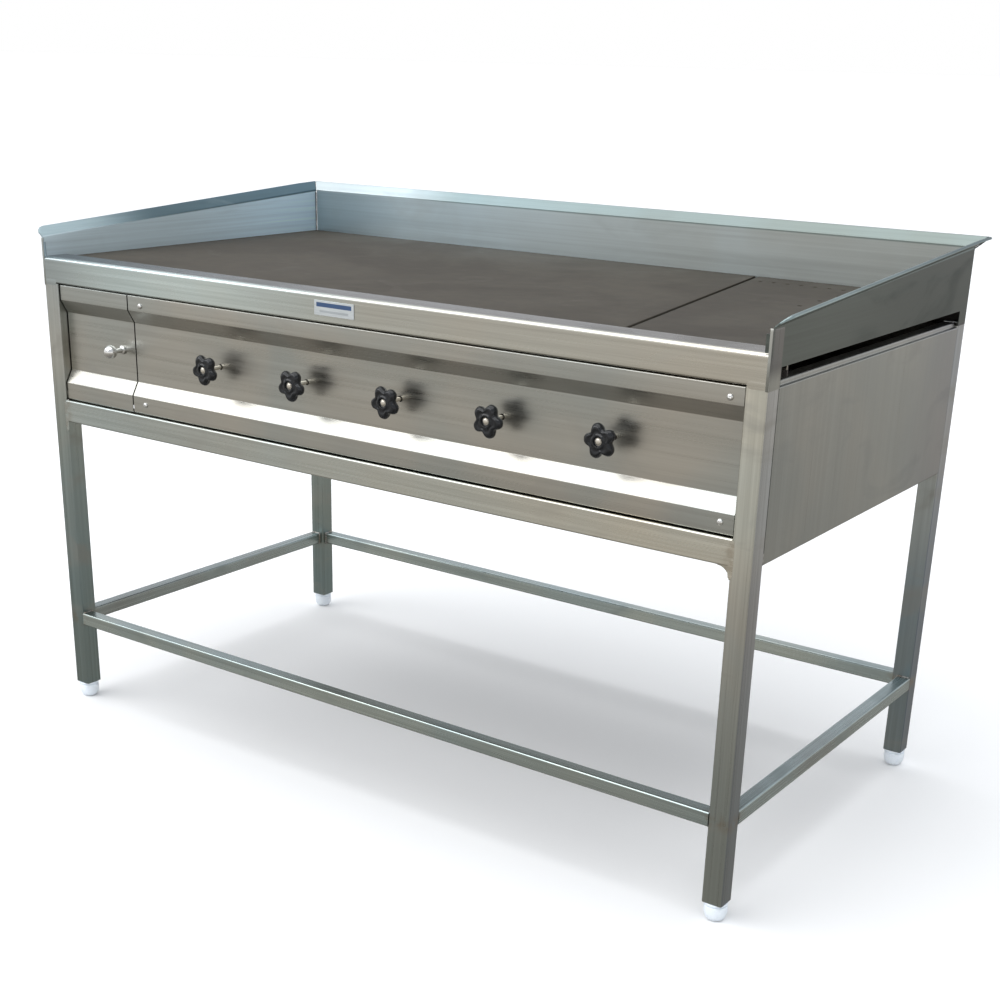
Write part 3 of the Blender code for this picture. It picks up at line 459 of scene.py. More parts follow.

# Masks over the outer faces on the right, parts of the lips, and the strip of the deck behind the
# fascia's bend, where painted shade, painted highlights and painted reflections go
TO_LEFT, TO_RIGHT = ramp("X", 0, LEFT), ramp("X", 0, RIGHT)
TO_FRONT, TO_REAR = ramp("Y", 0, FRONT), ramp("Y", 0, REAR)
SHADED_RIGHT_FACES = ramp("X", RIGHT - 1.6 * MM, RIGHT - 0.3 * MM)
SHADED_RIGHT_POST_FACE = ramp("X", RIGHT - 1.5 * MM, RIGHT - 0.3 * MM)
LEFT_LIP_REAR = overlap(lip, ramp("Y", FRONT + 0.08, FRONT + 0.30))
REAR_LIP_RIGHT = overlap(lip, ramp("X", LEFT + 0.2, LEFT + 0.42))
REAR_LIP_LEFT = overlap(lip, ramp("X", LEFT + 0.25, LEFT))
BEHIND_BEND = ramp("Y", FRONT + 6 * MM, FRONT + 10 * MM)
DECK_STRIP_REFLECTION = overlap(BEHIND_BEND, ramp("Z", DECK - 4 * MM, DECK - 1 * MM))

# Painted shade lower down the legs, on the left legs, on the rear right leg and on the faces that look right,
# and a painted highlight up the front right leg; the last entry is a dark seam line at the legs' tops
LEG_PAINTED_LIGHT_AND_SEAM = [
    (ramp("Z", *LEG_SHADE_FADE), (0.66, 0.74, 0.78)),
    (overlap(ramp("Z", *LEFT_LEG_SHADE_FADE), TO_LEFT), (0.72, 0.78, 0.78)),
    (overlap(TO_RIGHT, ramp("Z", *FRONT_RIGHT_HIGHLIGHT_FADE), TO_FRONT), (1.32, 1.26, 1.17)),
    (overlap(TO_RIGHT, ramp("Z", *REAR_RIGHT_SHADE_FADE), TO_REAR), (0.66, 0.72, 0.80)),
    (SHADED_RIGHT_FACES, (0.72, 0.74, 0.84)),
    (ramp("Z", LEG_TOP - 0.8 * MM, LEG_TOP - 0.2 * MM), (0.10, 0.10, 0.10)),
]
# Painted shade: the post's face that looks right is darker from the leg's top upward
POST_PAINTED_SHADE = [(overlap(ramp("Z", LEG_TOP, LEG_TOP + 30 * MM), SHADED_RIGHT_POST_FACE), (0.36, 0.35, 0.37))]
# Painted light on the fascia: a lighter, bluer painted reflection on its left half, painted shade towards its
# left end, and a dark grey-violet painted reflection on the strip of deck behind the bend
FASCIA_PAINTED_LIGHT = [
    (band("X", LEFT + 0.38, 0.42), (1.26, 1.34, 1.38)),
    (ramp("X", LEFT + 0.16, LEFT), (0.80, 0.80, 0.82)),
    (DECK_STRIP_REFLECTION, (0.25, 0.225, 0.245)),
]
# Painted light: the lower rail lighter towards the right
RAIL_PAINTED_LIGHT = [(ramp("X", LEFT + 0.3, RIGHT), (1.22, 1.24, 1.24))]
# Painted shade: the side panels darker and a little bluer towards the rear
SIDE_PAINTED_SHADE = [(ramp("Y", REAR - 0.3, REAR), (0.84, 0.82, 0.88))]
# Painted light on the left guard: painted shade on the lip, deeper on its rear part, a lighter, bluer painted
# reflection towards the rear, and painted shade on the front flange
GUARD_LEFT_PAINTED_LIGHT = [
    (lip, (0.50, 0.54, 0.54)),
    (LEFT_LIP_REAR, (0.21, 0.28, 0.31)),
    (ramp("Y", FRONT + 0.30, REAR - 0.05), (1.2, 1.28, 1.36)),
    (ramp("Y", FRONT + 3 * MM, FRONT + 1 * MM), (0.30, 0.34, 0.36)),
]
# Painted light on the right guard: a bright painted highlight on the lip, and painted shade deepening towards
# the rear
GUARD_RIGHT_PAINTED_LIGHT = [
    (lip, (2.4, 2.6, 2.8)),
    (ramp("Y", FRONT + 0.1, REAR - 0.1), (0.60, 0.62, 0.64)),
]
# Painted light on the rear guard: painted shade on the lip's right part, a painted highlight on the lip's
# left end, and painted shade towards the left
GUARD_REAR_PAINTED_LIGHT = [
    (REAR_LIP_RIGHT, (0.47, 0.52, 0.51)),
    (REAR_LIP_LEFT, (1.5, 1.4, 1.35)),
    (ramp("X", LEFT + 0.28, LEFT + 0.05), (0.62, 0.64, 0.65)),
]
# Where the cool-to-warm painted reflection drifts across the fascia, the rail and the rear guard
ACROSS = ("X", LEFT, RIGHT)
ACROSS_GUARD = ("X", LEFT + 0.3, RIGHT - 0.3)

FINISHES = {
    "leg": brushed(
        "steel_legs", LEG_COOL, LEG_WARM, "Z", 0.30, welds=LEG_WELDS, soil=0.5, tints=LEG_PAINTED_LIGHT_AND_SEAM
    ),
    "stretcher_x": brushed(
        "steel_stretchers_across",
        STRETCHER_WARM,
        STRETCHER_COOL,
        "X",
        0.26,
        welds=END_WELDS_X,
        soil=0.4,
        streak=0.22,
    ),
    "stretcher_y": brushed(
        "steel_stretchers_along",
        SIDE_COOL,
        STRETCHER_COOL,
        "Y",
        0.26,
        welds=END_WELDS_Y,
        soil=0.4,
        streak=0.22,
    ),
    "fascia": brushed(
        "steel_fascia", COOL, WARM, "X", 0.24, drift=ACROSS, soil=0.15, streak=0.12, tints=FASCIA_PAINTED_LIGHT
    ),
    "rail": brushed(
        "steel_lower_rail",
        COOL,
        WARM,
        "X",
        0.27,
        drift=ACROSS,
        welds=END_WELDS_X,
        streak=0.14,
        tints=RAIL_PAINTED_LIGHT,
    ),
    "panel": brushed("steel_control_panel", PANEL_COOL, PANEL_WARM, "X", 0.29, soil=0.22, streak=0.10),
    "side": brushed(
        "steel_side_panel", SIDE_COOL, SIDE_WARM, "Z", 0.32, soil=0.12, streak=0.10, tints=SIDE_PAINTED_SHADE
    ),
    "guard_left": brushed(
        "steel_guard_left",
        GUARD_COOL,
        GUARD_COOL,
        "Y",
        0.42,
        soil=0.2,
        streak=0.12,
        tints=GUARD_LEFT_PAINTED_LIGHT,
        metallic=0.5,
    ),
    "guard_right": brushed(
        "steel_guard_right",
        GUARD_SHADE_DARK,
        GUARD_SHADE_DARK,
        "Y",
        0.32,
        soil=0.2,
        streak=0.2,
        tints=GUARD_RIGHT_PAINTED_LIGHT,
    ),
    "guard_rear": brushed(
        "steel_guard_rear",
        GUARD_COOL,
        GUARD_WARM,
        "X",
        0.34,
        drift=ACROSS_GUARD,
        soil=0.2,
        streak=0.1,
        tints=GUARD_REAR_PAINTED_LIGHT,
        metallic=0.75,
    ),
    "post": brushed(
        "steel_corner_post", LEG_COOL, LEG_WARM, "Z", 0.30, soil=0.1, streak=0.10, tints=POST_PAINTED_SHADE
    ),
    # Near-black steel for the parts round the burners: soot, and painted shade that keeps their edges dark
    # inside the box
    "soot_and_shade": brushed(
        "steel_sooted_and_shaded", SOOT_AND_SHADE_COOL, SOOT_AND_SHADE_WARM, "X", 0.60, soil=0.6, streak=0.12, metallic=0.5
    ),
    "inner": brushed("steel_inner", INNER_COOL, INNER_WARM, "X", 0.42, soil=0.6, streak=0.12),
    "plate": hot_rolled("plate_main", (0.056, 0.046, 0.031), (0.046, 0.038, 0.027), 0.35),
    "plate_right": hot_rolled("plate_right", (0.054, 0.045, 0.031), (0.045, 0.037, 0.027), -0.2),
    "bakelite": bakelite(),
    "brass": turned_metal("brass", (0.70, 0.56, 0.30), (0.42, 0.30, 0.14), 0.22),
    "nickel": turned_metal("nickel", (0.80, 0.77, 0.70), (0.64, 0.60, 0.52), 0.22),
    "chrome": turned_metal("screw_steel", (0.80, 0.80, 0.79), (0.66, 0.66, 0.65), 0.08),
    "iron": cast_iron(),
    "pipe": galvanised(),
    "nylon": nylon(),
    "label": label(),
    "weld": weld_metal("weld_metal", (0.30, 0.29, 0.28), (0.55, 0.54, 0.52)),
    "joint": weld_metal("weld_metal_dark", (0.05, 0.055, 0.055), (0.12, 0.125, 0.12)),
}


# ---------------------------------------------------------------- finishing the CAD nodes


BEVEL_ANGLE = 48
FLAT_WEIGHT = 80
SHEET_EDGE = 0.3 * MM


def dress(node, finish, edge=0.4 * MM):
    """A finish, softened edges and smooth shading for a CAD node.

    Its vertices and faces stay as they are, but its mesh data doesn't: the normals it came with are removed
    and its faces are set to smooth, so that the weighted normals can take over.
    """
    obj = frame["nodes"][node]
    obj.material_slots[0].material = FINISHES[finish]
    custom = obj.data.attributes.get("custom_normal")
    if custom:
        obj.data.attributes.remove(custom)
    obj.data.shade_smooth()
    weld = obj.modifiers.new("weld", "WELD")
    weld.merge_threshold = 0.005 * MM
    if edge:
        bevel = obj.modifiers.new("edge", "BEVEL")
        bevel.width = edge
        bevel.segments = 2
        bevel.limit_method = "ANGLE"
        bevel.angle_limit = math.radians(BEVEL_ANGLE)
    normals = obj.modifiers.new("normals", "WEIGHTED_NORMAL")
    normals.keep_sharp = False
    normals.weight = FLAT_WEIGHT


def dress_nodes():
    """Every CAD node that no finer piece stands for."""
    for corner in CORNERS:
        dress(f"leg_{corner}", "leg", 0)
    for side in ("front", "rear"):
        dress(f"stretcher_{side}", "stretcher_x", 0)
    for side in ("left", "right"):
        dress(f"stretcher_{side}", "stretcher_y", 0)
        dress(f"side_panel_{side}", "side")
        dress(f"guard_{side}", f"guard_{side}", SHEET_EDGE)
    dress("front_lower_rail", "rail", 0)
    dress("front_fascia", "fascia", SHEET_EDGE)
    dress("control_panel", "panel", SHEET_EDGE)
    dress("drawer_front", "panel", SHEET_EDGE)
    dress("guard_rear", "guard_rear", SHEET_EDGE)
    dress("nameplate", "label", 0)
    dress("griddle_plate_main", "plate", 0)
    dress("griddle_plate_right", "plate_right", 0)
    for node in ("rear_panel", "floor_pan", "drawer_partition", "drawer_runner_left", "drawer_tray"):
        dress(node, "inner", SHEET_EDGE)
    # The parts round the burners get soot and painted shade
    for node in ("plate_frame", "drain_gutter", "burner_rest_front", "burner_rest_rear"):
        dress(node, "soot_and_shade", SHEET_EDGE)
    dress("gas_manifold", "pipe", 0)
    dress("gas_inlet_union", "brass", 0.8 * MM)
    for i in KNOBS:
        dress(f"valve_body_{i}", "brass", 0.4 * MM)
        dress(f"burner_{i}", "iron", 0.4 * MM)


# ---------------------------------------------------------------- shapes


SHARP_ANGLE = 42


def piece(name, bm, finish, body, place=(0, 0, 0), instead=()):
    """A mesh becomes a named piece of the object, riding on a body and standing for CAD nodes."""
    bmesh.ops.recalc_face_normals(bm, faces=bm.faces)
    mesh = bpy.data.meshes.new(name)
    bm.to_mesh(mesh)
    bm.free()
    mesh.materials.append(FINISHES[finish])
    obj = bpy.data.objects.new(name, mesh)
    obj.location = place
    bpy.context.scene.collection.objects.link(obj)
    mesh.shade_smooth()
    mesh.set_sharp_from_angle(angle=math.radians(SHARP_ANGLE))
    bpy.context.view_layer.update()
    if instead:
        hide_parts(*instead)
    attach(obj, body)
    return obj


def skin(loops, ring=False):
    """A surface over loops of equal length. It is capped at both ends, or else closed into a ring."""
    bm = bmesh.new()
    rows = [[bm.verts.new(point) for point in loop] for loop in loops]
    count = len(rows[0])
    for a, b in zip(rows, rows[1:] + rows[:1] if ring else rows[1:]):
        for i in range(count):
            j = (i + 1) % count
            bm.faces.new((a[i], a[j], b[j], b[i]))
    if not ring:
        bm.faces.new(rows[0][::-1])
        bm.faces.new(rows[-1])
    return bm


def lathe(profile, steps=32):
    """A turned shape about Y. The profile is (radius, depth), and depth grows to the rear."""
    turns = [2 * math.pi * i / steps for i in range(steps)]
    tip = 0.02 * MM
    loops = [[(max(r, tip) * math.sin(t), y, max(r, tip) * math.cos(t)) for t in turns] for r, y in profile]
    return skin(loops)


def steps_of(pairs, base=0.0):
    """(radius, depth) pairs in millimetres, as metres, with the depths measured from a base."""
    return [(radius * MM, base + depth * MM) for radius, depth in pairs]


def cut_slots(obj, wide, long, deep, turns):
    """Cuts straight screwdriver slots across a front face, which looks to -Y at the object's origin."""
    bm = bmesh.new()
    for turn in turns:
        made = bmesh.ops.create_cube(bm, size=1)["verts"]
        bmesh.ops.scale(bm, vec=(wide, 2 * deep, long), verts=made)
        bmesh.ops.rotate(bm, cent=(0, 0, 0), matrix=Matrix.Rotation(turn, 3, "Y"), verts=made)
    mesh = bpy.data.meshes.new("slot")
    bm.to_mesh(mesh)
    bm.free()
    tool = bpy.data.objects.new("slot", mesh)
    tool.location = obj.location
    bpy.context.scene.collection.objects.link(tool)
    made = obj.modifiers.new("slots", "BOOLEAN")
    made.object = tool
    made.use_self = True
    bpy.context.view_layer.update()
    graph = bpy.context.evaluated_depsgraph_get()
    cut = bpy.data.meshes.new_from_object(obj.evaluated_get(graph))
    obj.modifiers.clear()
    obj.data = cut
    bpy.data.objects.remove(tool)


# ---------------------------------------------------------------- knobs, stems, screws and feet


def star_loops(turn):
    """Loops of a five-lobed knob: from the bore at the front, over the rim, to the bore behind the hub."""
    steps, lobes, roundness = 120, 5, 1.5
    lobe_depth, outer = 0.158, 1.045
    # (mean radius, share of the lobes' depth, depth behind the knob's middle plane), in millimetres
    rings = [
        (4.4, 0, -4.0), (6.9, 0, -4.0), (7.4, 0, -4.4), (7.6, 0, -6.8), (8.0, 0, -7.6), (9.0, 0, -7.95),
        (10.4, 0.05, -7.6), (11.6, 0.15, -6.7), (13.0, 0.4, -6.2), (14.6, 0.7, -6.6), (16.2, 0.9, -7.2),
        (17.8, 1, -7.1), (19.3, 1, -6.2), (20.6, 1, -4.9), (21.7, 1, -3.1), (22.4, 1, -1.2), (22.72, 1, 0.4),
        (22.6, 1, 2.0), (22.0, 1, 4.2), (20.9, 1, 6.1), (19.2, 1, 7.4), (17.0, 0.9, 8.0), (13.5, 0.5, 8.0),
        (9.4, 0, 8.2), (8.8, 0, 9.0), (7.4, 0, 14.2), (6.9, 0, 14.8), (6.0, 0, 15.0), (4.4, 0, 15.0),
    ]  # fmt: skip
    loops = []
    for mean, share, depth in rings:
        loop = []
        for i in range(steps):
            angle = 2 * math.pi * i / steps
            wave = 1 - 2 * ((1 - math.cos(lobes * angle)) / 2) ** roundness
            radius = mean * (1 + (outer - 1) * share) * (1 + lobe_depth * share * wave) * MM
            way = angle + math.radians(turn)
            loop.append((radius * math.sin(way), depth * MM, radius * math.cos(way)))
        loops.append(loop)
    return loops


def knob_place(i):
    """Where a knob's hinge is in the frame."""
    joint = next(j for j in frame["joints"] if j["child"] == f"knob_{i}")
    return Vector(joint["pos_m"])


def star_knobs():
    """A moulded star grip for each valve, at its own turn."""
    for i, turn in zip(KNOBS, KNOB_TURNS):
        bm = skin(star_loops(turn), ring=True)
        instead = [f"star_knob_{i}"]
        piece(f"star_grip_{i}", bm, "bakelite", f"knob_{i}", knob_place(i), instead)


def stems():
    """Each valve spindle: a head in the knob, a plain shank, and a threaded end in the valve."""
    head = [(2.6, 0.1), (4.0, 0.5), (4.6, 1.1), (4.7, 1.7), (5.5, 1.8), (5.5, 2.45), (4.0, 2.5)]
    bore, shank, pitch, turns = 21 * MM, 26 * MM, 1.25 * MM, 16
    root, crest = 3.45 * MM, 3.95 * MM
    thread = bore + shank
    for i in KNOBS:
        node = f"valve_spindle_{i}"
        low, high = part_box(node)
        place = knob_place(i)
        front = low.y - place.y
        rear = high.y - place.y
        profile = [(0, front)] + steps_of(head, front)
        profile += steps_of([(4.0, 0), (3.5, 0.5)], bore)
        profile += steps_of([(3.5, -1)], thread)
        for k in range(turns):
            y = thread + k * pitch
            profile += [(root, y), (crest, y + pitch / 2)]
        profile += [(root, thread + turns * pitch), (3.4 * MM, rear), (0, rear)]
        stem = piece(f"stem_{i}", lathe(profile, 24), "nickel", f"knob_{i}", place, [node])
        stem.data.set_sharp_from_angle(angle=math.radians(30))


def screws():
    """Pan-head panel screws with crossed slots."""
    head, shank, point = 3.2 * MM, 2 * MM, 1.5 * MM
    slot = (0.9 * MM, 5.2 * MM, 1.3 * MM)
    # (share of the head's radius, depth in millimetres)
    dome = [(0.35, 0.08), (0.62, 0.45), (0.84, 1.1), (0.96, 2.0), (1, 2.8)]
    for i in range(1, 5):
        node = f"panel_screw_{i}"
        low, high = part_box(node)
        centre = (low + high) / 2
        length = high.y - low.y
        radius = (high.x - low.x) / 2
        profile = [(0, 0.0)] + [(radius * share, depth * MM) for share, depth in dome]
        profile += [(radius, head), (shank, head), (shank, length - point), (0.6 * MM, length)]
        place = (centre.x, low.y, centre.z)
        screw = piece(f"pan_screw_{i}", lathe(profile, 28), "chrome", "stand", place, [node])
        cut_slots(screw, *slot, (0.4 + i, 0.4 + i + math.pi / 2))
        screw.data.set_sharp_from_angle(angle=math.radians(35))


def drawer_pull():
    """A ball on a neck, with a flared foot against the drawer's front."""
    low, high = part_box("drawer_knob")
    centre = (low + high) / 2
    radius = (high.x - low.x) / 2
    reach = high.y - low.y
    turns = [math.pi * k / 28 for k in range(25)]
    ball = [(radius * math.sin(a), radius - radius * math.cos(a)) for a in turns]
    neck = 4.6 * MM
    profile = [p for p in ball if p[1] < radius or p[0] > neck]
    profile += [(neck, profile[-1][1] + 1.2 * MM)]
    profile += steps_of([(4.6, -7), (5.2, -5), (7.8, -3.6), (8, -3), (8, -0.4), (7.6, 0)], reach)
    place = (centre.x, low.y, centre.z)
    piece("drawer_pull", lathe(profile, 40), "chrome", "drawer", place, ["drawer_knob"])


def feet():
    """Bullet feet: a rounded body, a groove, a thin collar under the tube, and a ribbed plug inside it."""
    sole, rim, dome, gap = 9.4 * MM, 0.2 * MM, 17 * MM, 0.3 * MM
    turns = [math.pi / 2 * k / 10 for k in range(1, 11)]
    # (inset from the full width, height from the foot's top), in millimetres
    collar = [(0, -6), (0.4, -5.4), (2, -5), (2, -4.2), (0.6, -3.6), (0, -3), (0, -0.6), (0.5, 0)]
    rib = [(13.2, 0), (14.4, 1.2), (14.4, 2.2), (13.2, 3)]
    for corner in CORNERS:
        node = f"foot_{corner}"
        low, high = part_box(node)
        centre = (low + high) / 2
        wide = (high.x - low.x) / 2
        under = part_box(f"leg_{corner}")[0].z
        top = under - gap
        profile = [(0, 0), (8.6 * MM, 0), (sole, rim)]
        profile += [(sole + (wide - sole) * math.sin(a), rim + dome * (1 - math.cos(a))) for a in turns]
        profile += [(wide - inset * MM, top + height * MM) for inset, height in collar]
        profile += [(14.2 * MM, top)]
        for k in range(4):
            profile += steps_of(rib, under + (3 + 6 * k) * MM)
        profile += [(12.6 * MM, high.z - 1 * MM), (0, high.z)]
        bm = lathe(profile, 48)
        bmesh.ops.rotate(bm, cent=(0, 0, 0), matrix=Matrix.Rotation(math.pi / 2, 3, "X"), verts=bm.verts)
        place = (centre.x, centre.y, 0)
        piece(f"bullet_{corner}", bm, "nylon", "stand", place, [node])


# ---------------------------------------------------------------- welds


RIPPLE_PITCH = 2.2 * MM
RIPPLE_DEPTH = 0.16
WANDER = 0.25
BEAD_SIDES = 10


def bead(points, radius, seed):
    """A rippled weld bead along a line of points, thinning out at both ends."""
    line = [Vector(p) for p in points]
    lengths = [(b - a).length for a, b in zip(line, line[1:])]
    total = sum(lengths)
    pitch = 0.9 * MM
    count = max(8, int(total / pitch))
    loops = []
    for i in range(count + 1):
        run = total * i / count
        share = run / total
        for a, b, length in zip(line, line[1:], lengths):
            if run <= length + 1e-9:
                centre = a.lerp(b, min(1, run / length))
                way = (b - a).normalized()
                break
            run -= length
        side = way.orthogonal().normalized()
        up = way.cross(side)
        ripple = 1 + RIPPLE_DEPTH * math.sin(total * share / RIPPLE_PITCH * 2 * math.pi)
        wander = noise.noise(Vector((share * total * 160, seed * 3.7, 0))) * WANDER
        end = min(1.0, min(share, 1 - share) * total / (3 * MM) + 0.25)
        size = radius * (ripple + wander) * end
        angles = [2 * math.pi * k / BEAD_SIDES for k in range(BEAD_SIDES)]
        loops.append([centre + (side * math.cos(a) + up * math.sin(a)) * size for a in angles])
    return loops


def stretcher_welds():
    """Beads round three sides of each stretcher's end. The outer side, flush with the leg, is ground flat."""
    size, inset, short = 1.5 * MM, 0.4 * MM, 2.2 * MM
    seed = 0
    for side, axis, flush in (("front", 0, -1), ("rear", 0, 1), ("left", 1, -1), ("right", 1, 1)):
        low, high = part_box(f"stretcher_{side}")
        for end, way in ((low, 1), (high, -1)):
            seed += 1
            along = end[axis] + way * inset
            other = 1 - axis
            outer = low[other] if flush < 0 else high[other]
            inner = high[other] if flush < 0 else low[other]
            outer -= flush * short
            corners = [(outer, high.z), (inner, high.z), (inner, low.z), (outer, low.z)]
            points = []
            for across, z in corners:
                point = [0, 0, z]
                point[axis] = along
                point[other] = across
                points.append(point)
            name = f"weld_stretcher_{side}_{'low' if way > 0 else 'high'}"
            piece(name, skin(bead(points, size, seed)), "weld", "stand")


def rail_welds():
    """Short beads where the lower rail and the side panels meet the legs."""
    rail_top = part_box("front_lower_rail")[1].z
    size, inset, gap, depth = 1.3 * MM, 1.2 * MM, 0.3 * MM, 1.4 * MM
    near, far = 2 * MM, 20 * MM
    for side, edge, x, way in (("left", LEFT, LEFT + LEG, 1), ("right", RIGHT, RIGHT - LEG, -1)):
        seed = 20 + way
        y = FRONT + inset
        top = [(x + way * gap, y + near, rail_top), (x + way * gap, y + far, rail_top)]
        piece(f"weld_rail_top_{side}", skin(bead(top, size, seed)), "weld", "stand")
        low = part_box(f"side_panel_{side}")[0].z
        for end, gap_y in (("front", FRONT + LEG), ("rear", REAR - LEG)):
            line = [(edge + way * depth, gap_y, low + near), (edge + way * depth, gap_y, low + far)]
            name = f"weld_panel_{side}_{end}"
            piece(name, skin(bead(line, size, seed + len(end))), "weld", "stand")


def swelling(along, across, middle, length, width, rise, outward, sink=0.5 * MM):
    """A ground weld: a thin pad that swells by a hair out of a flat face and sinks in round its edge."""
    steps, squareness, flatness = 16, 6, 8
    loops = []
    for i in range(steps + 1):
        u = -1 + 2 * i / steps
        edge = (1 - abs(u) ** squareness) ** 0.5
        row = []
        for k in range(steps + 1):
            v = -1 + 2 * k / steps
            high = rise * (1 - v * v) * (1 - u**flatness)
            row.append(middle + along * (u * length / 2) + across * (v * edge * width / 2) + outward * high)
        loops.append(row + [middle + along * (u * length / 2) - outward * sink])
    return skin(loops)


def ground_welds():
    """Ground pads over the seams between the front legs, the fascia and the rail, and at the rear corners."""
    x_way, y_way, z_way = Vector((1, 0, 0)), Vector((0, 1, 0)), Vector((0, 0, 1))
    rise, groove = 0.12 * MM, 3 * MM
    rail_low, rail_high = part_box("front_lower_rail")
    tall = rail_high.z - rail_low.z - 1 * MM
    for side, edge, way in (("left", LEFT, 1), ("right", RIGHT, -1)):
        place = Vector((edge + way * (LEG / 2 + SHEET / 2), FRONT, LEG_TOP + 1.8 * MM))
        pad = swelling(x_way, z_way, place, LEG - 4 * MM, 11 * MM, rise, -y_way)
        piece(f"weld_ground_front_{side}", pad, "fascia", "stand")
        place = Vector((edge, REAR - LEG / 2 - SHEET, LEG_TOP))
        pad = swelling(y_way, z_way, place, LEG - 5 * MM, 7 * MM, rise, -x_way * way)
        piece(f"weld_ground_{side}_rear", pad, "leg", "stand")
        place = Vector((edge + way * (LEG - 0.6 * MM), rail_low.y, (rail_low.z + rail_high.z) / 2))
        pad = swelling(z_way, x_way, place, tall, 8 * MM, rise, -y_way, groove)
        piece(f"weld_ground_rail_{side}", pad, "rail", "stand")


def corner_posts():
    """A thin facing that carries each front leg's corner up past the fascia to the guard's lip."""
    proud, thick, radius, front_width = 0.15 * MM, 1.2 * MM, 0.6 * MM, 5 * MM
    corner_share = 0.8
    low, high = LEG_TOP - 5 * MM, KINK_FRONT - 1.5 * MM
    turns = [math.pi / 2 * i / 6 for i in range(7)]
    swing = radius + proud
    # (distance in from the outer side, distance behind the front)
    outer = [(front_width, -proud)]
    outer += [(radius - swing * math.sin(a), radius - swing * math.cos(a)) for a in turns]
    outer += [(-proud, LEG * share) for share in (0.25, 0.5, 0.75, 0.97)]
    inner = []
    for u, v in outer[1:]:
        along_side = v > radius
        inset = thick * (1 if along_side else corner_share)
        inner.append((u + inset, v + thick * (0 if along_side else corner_share)))
    line = outer + inner[::-1] + [(front_width, thick)]
    heights = [low, low + 0.4 * MM, DECK - 10 * MM, DECK, high - 4 * MM, high - 1 * MM, high]
    shrink = [0.3 * MM, 0, 0, 0, 0, 0.1 * MM, 0.4 * MM]
    for side, edge, way in (("left", LEFT, 1), ("right", RIGHT, -1)):
        loops = []
        for z, inset in zip(heights, shrink):
            loops.append([(edge + way * (u + inset), FRONT + v + inset, z) for u, v in line])
        piece(f"corner_post_{side}", skin(loops), "post", "stand")


def corner_beads():
    """A bead up each inner corner between the rear guard and a side guard, and on along the lips' mitre."""
    size = 1.2 * MM
    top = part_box("guard_rear")[1].z
    kink, reach = top - LIP_HEIGHT - 1 * MM, LIP_HEIGHT - 2 * MM
    for side, edge, way in (("left", LEFT, 1), ("right", RIGHT, -1)):
        x, y = edge + way * (SHEET + 0.8 * MM), REAR - SHEET - 0.9 * MM
        line = [(x, y, DECK - 14 * MM), (x, y, kink)]
        piece(f"weld_corner_inner_{side}", skin(bead(line, size, 40 + way)), "joint", "stand")
        mitre = [(x, y, kink), (x - way * reach, y + LIP_HEIGHT - 2 * MM, top - 3 * MM)]
        piece(f"weld_corner_lip_{side}", skin(bead(mitre, size, 44 + way)), "joint", "stand")


def rear_seal():
    """A folded strip inside the rear, which closes the slit between the rear panel and the rear guard."""
    low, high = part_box("rear_panel")
    end, thick, fold = 1 * MM, 1.2 * MM, 0.4 * MM
    near, far = high.y - 16 * MM, high.y - 2.2 * MM
    under, over = high.z + 0.2 * MM, high.z + 5.8 * MM
    profile = [(near, under), (far - fold, under), (far, under + fold), (far, over), (far - thick, over)]
    profile += [(far - thick, under + thick + fold), (far - thick - fold, under + thick)]
    profile += [(near, under + thick)]
    loops = [[(x, y, z) for y, z in profile] for x in (low.x + end, high.x - end)]
    # Its near-black finish is soot and painted shade inside the rear
    piece("rear_seal", skin(loops), "soot_and_shade", "stand")


# ---------------------------------------------------------------- floor, light and camera


FLOOR_SIZE = 400
FLOOR_SHADES = ((0.90, 0.90, 0.90), (0.92, 0.92, 0.92))
STUDIO = [
    (-1.0, (0.20, 0.19, 0.175)),
    (-0.55, (0.33, 0.31, 0.28)),
    (-0.12, (0.62, 0.60, 0.56)),
    (-0.02, (1.0, 1.0, 1.0)),
    (0.10, (1.0, 1.0, 1.0)),
    (0.30, (0.62, 0.64, 0.67)),
    (1.0, (0.75, 0.79, 0.84)),
]
SKY_WAY = (-0.62, -0.95, 0.78)
SKY_DISTANCE = 6.0
SKY_SIZE = (7.0, 2.6)
SKY_RADIANCE = 2.6
OVERHEAD_ENERGY = 1.7
OVERHEAD_SPREAD = 75
OVERHEAD_TILT = (6, -5)


def floor():
    """A pale matt floor that the steel doesn't reflect."""
    bm = bmesh.new()
    bmesh.ops.create_grid(bm, x_segments=1, y_segments=1, size=FLOOR_SIZE)
    mesh = bpy.data.meshes.new("floor")
    bm.to_mesh(mesh)
    bm.free()
    obj = bpy.data.objects.new("floor", mesh)
    bpy.context.scene.collection.objects.link(obj)
    tree = Tree("pale_floor")
    tree.finish(tree.mix(tree.noise(2.0, 3.0), *FLOOR_SHADES), 0.0, 0.9)
    mesh.materials.append(tree.material)
    obj.visible_glossy = False


def world():
    """A plain studio: pale at eye height, darker below, so that steel has something to reflect."""
    made = bpy.data.worlds.new("studio")
    made.use_nodes = True
    bpy.context.scene.world = made
    nodes, links = made.node_tree.nodes, made.node_tree.links
    place = nodes.new("ShaderNodeTexCoord").outputs["Generated"]
    split = nodes.new("ShaderNodeSeparateXYZ")
    links.new(place, split.inputs[0])
    height = nodes.new("ShaderNodeMapRange")
    height.inputs["From Min"].default_value = -1
    height.inputs["From Max"].default_value = 1
    links.new(split.outputs["Z"], height.inputs["Value"])
    shades = nodes.new("ShaderNodeValToRGB")
    links.new(height.outputs[0], shades.inputs[0])
    elements = shades.color_ramp.elements
    while len(elements) < len(STUDIO):
        elements.new(0.5)
    for element, (z, colour) in zip(elements, STUDIO):
        element.position = (z + 1) / 2
        element.color = (*colour, 1)
    links.new(shades.outputs[0], nodes["Background"].inputs["Color"])


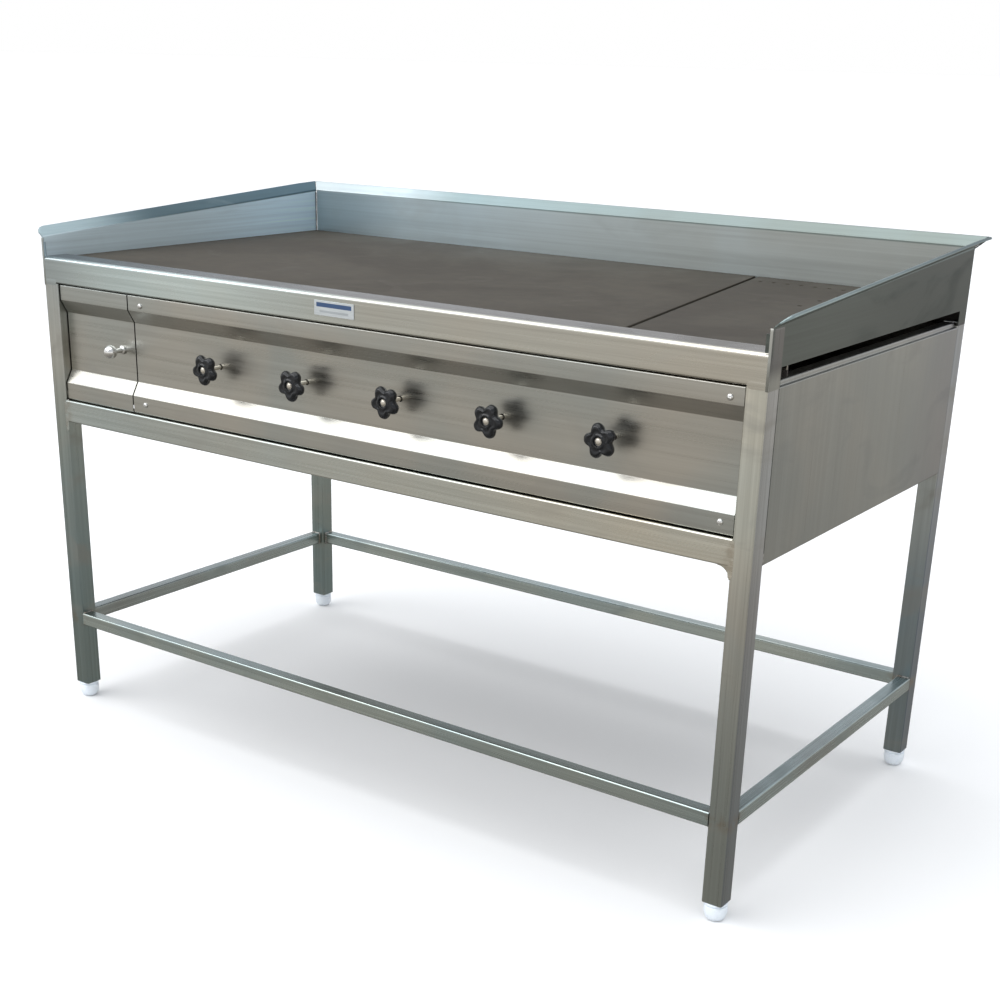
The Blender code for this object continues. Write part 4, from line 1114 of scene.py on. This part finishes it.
def lights():
    """A wide softbox from the front left, looking at the middle of the griddle, and soft light from above."""
    way = Vector(SKY_WAY).normalized()
    data = bpy.data.lights.new("sky", "AREA")
    data.shape = "RECTANGLE"
    data.size, data.size_y = SKY_SIZE
    data.energy = SKY_RADIANCE * math.pi * SKY_SIZE[0] * SKY_SIZE[1]
    obj = bpy.data.objects.new("sky", data)
    obj.location = (CAD_BOX[0] + CAD_BOX[1]) / 2 + way * SKY_DISTANCE
    obj.rotation_mode = "QUATERNION"
    obj.rotation_quaternion = (-way).to_track_quat("-Z", "Y")
    bpy.context.scene.collection.objects.link(obj)
    wide = bpy.data.lights.new("overhead", "SUN")
    wide.energy = OVERHEAD_ENERGY
    wide.angle = math.radians(OVERHEAD_SPREAD)
    obj = bpy.data.objects.new("overhead", wide)
    obj.rotation_euler = (*(math.radians(tilt) for tilt in OVERHEAD_TILT), 0)
    bpy.context.scene.collection.objects.link(obj)


def camera():
    """The viewpoint, from the right and above."""
    foot = Vector((LEFT, FRONT, CAMERA_FOOT))
    turn_x, turn_y = math.sin(CAMERA_AZIMUTH), math.cos(CAMERA_AZIMUTH)
    level, drop = math.cos(CAMERA_ELEVATION), math.sin(CAMERA_ELEVATION)
    tilt_x, tilt_y = math.cos(CAMERA_ROLL), math.sin(CAMERA_ROLL)
    ahead = Vector((-turn_x * level, turn_y * level, -drop))
    right = Vector((turn_y, turn_x, 0))
    up = right.cross(ahead)
    right, up = right * tilt_x + up * tilt_y, up * tilt_x - right * tilt_y
    data = bpy.data.cameras.new("camera")
    data.sensor_width = 36
    data.lens = CAMERA_LENS * data.sensor_width
    data.shift_x, data.shift_y = CAMERA_SHIFT
    obj = bpy.data.objects.new("camera", data)
    turn = Matrix((right, up, -ahead)).transposed().to_4x4()
    obj.matrix_world = Matrix.Translation(foot + Vector(CAMERA_AWAY)) @ turn
    bpy.context.scene.collection.objects.link(obj)
    bpy.context.scene.camera = obj


dress_nodes()
star_knobs()
stems()
screws()
drawer_pull()
feet()
stretcher_welds()
rail_welds()
ground_welds()
corner_posts()
corner_beads()
rear_seal()
floor()
world()
lights()
camera()
bpy.context.scene.view_settings.view_transform = "Standard"

bpy.context.view_layer.update()
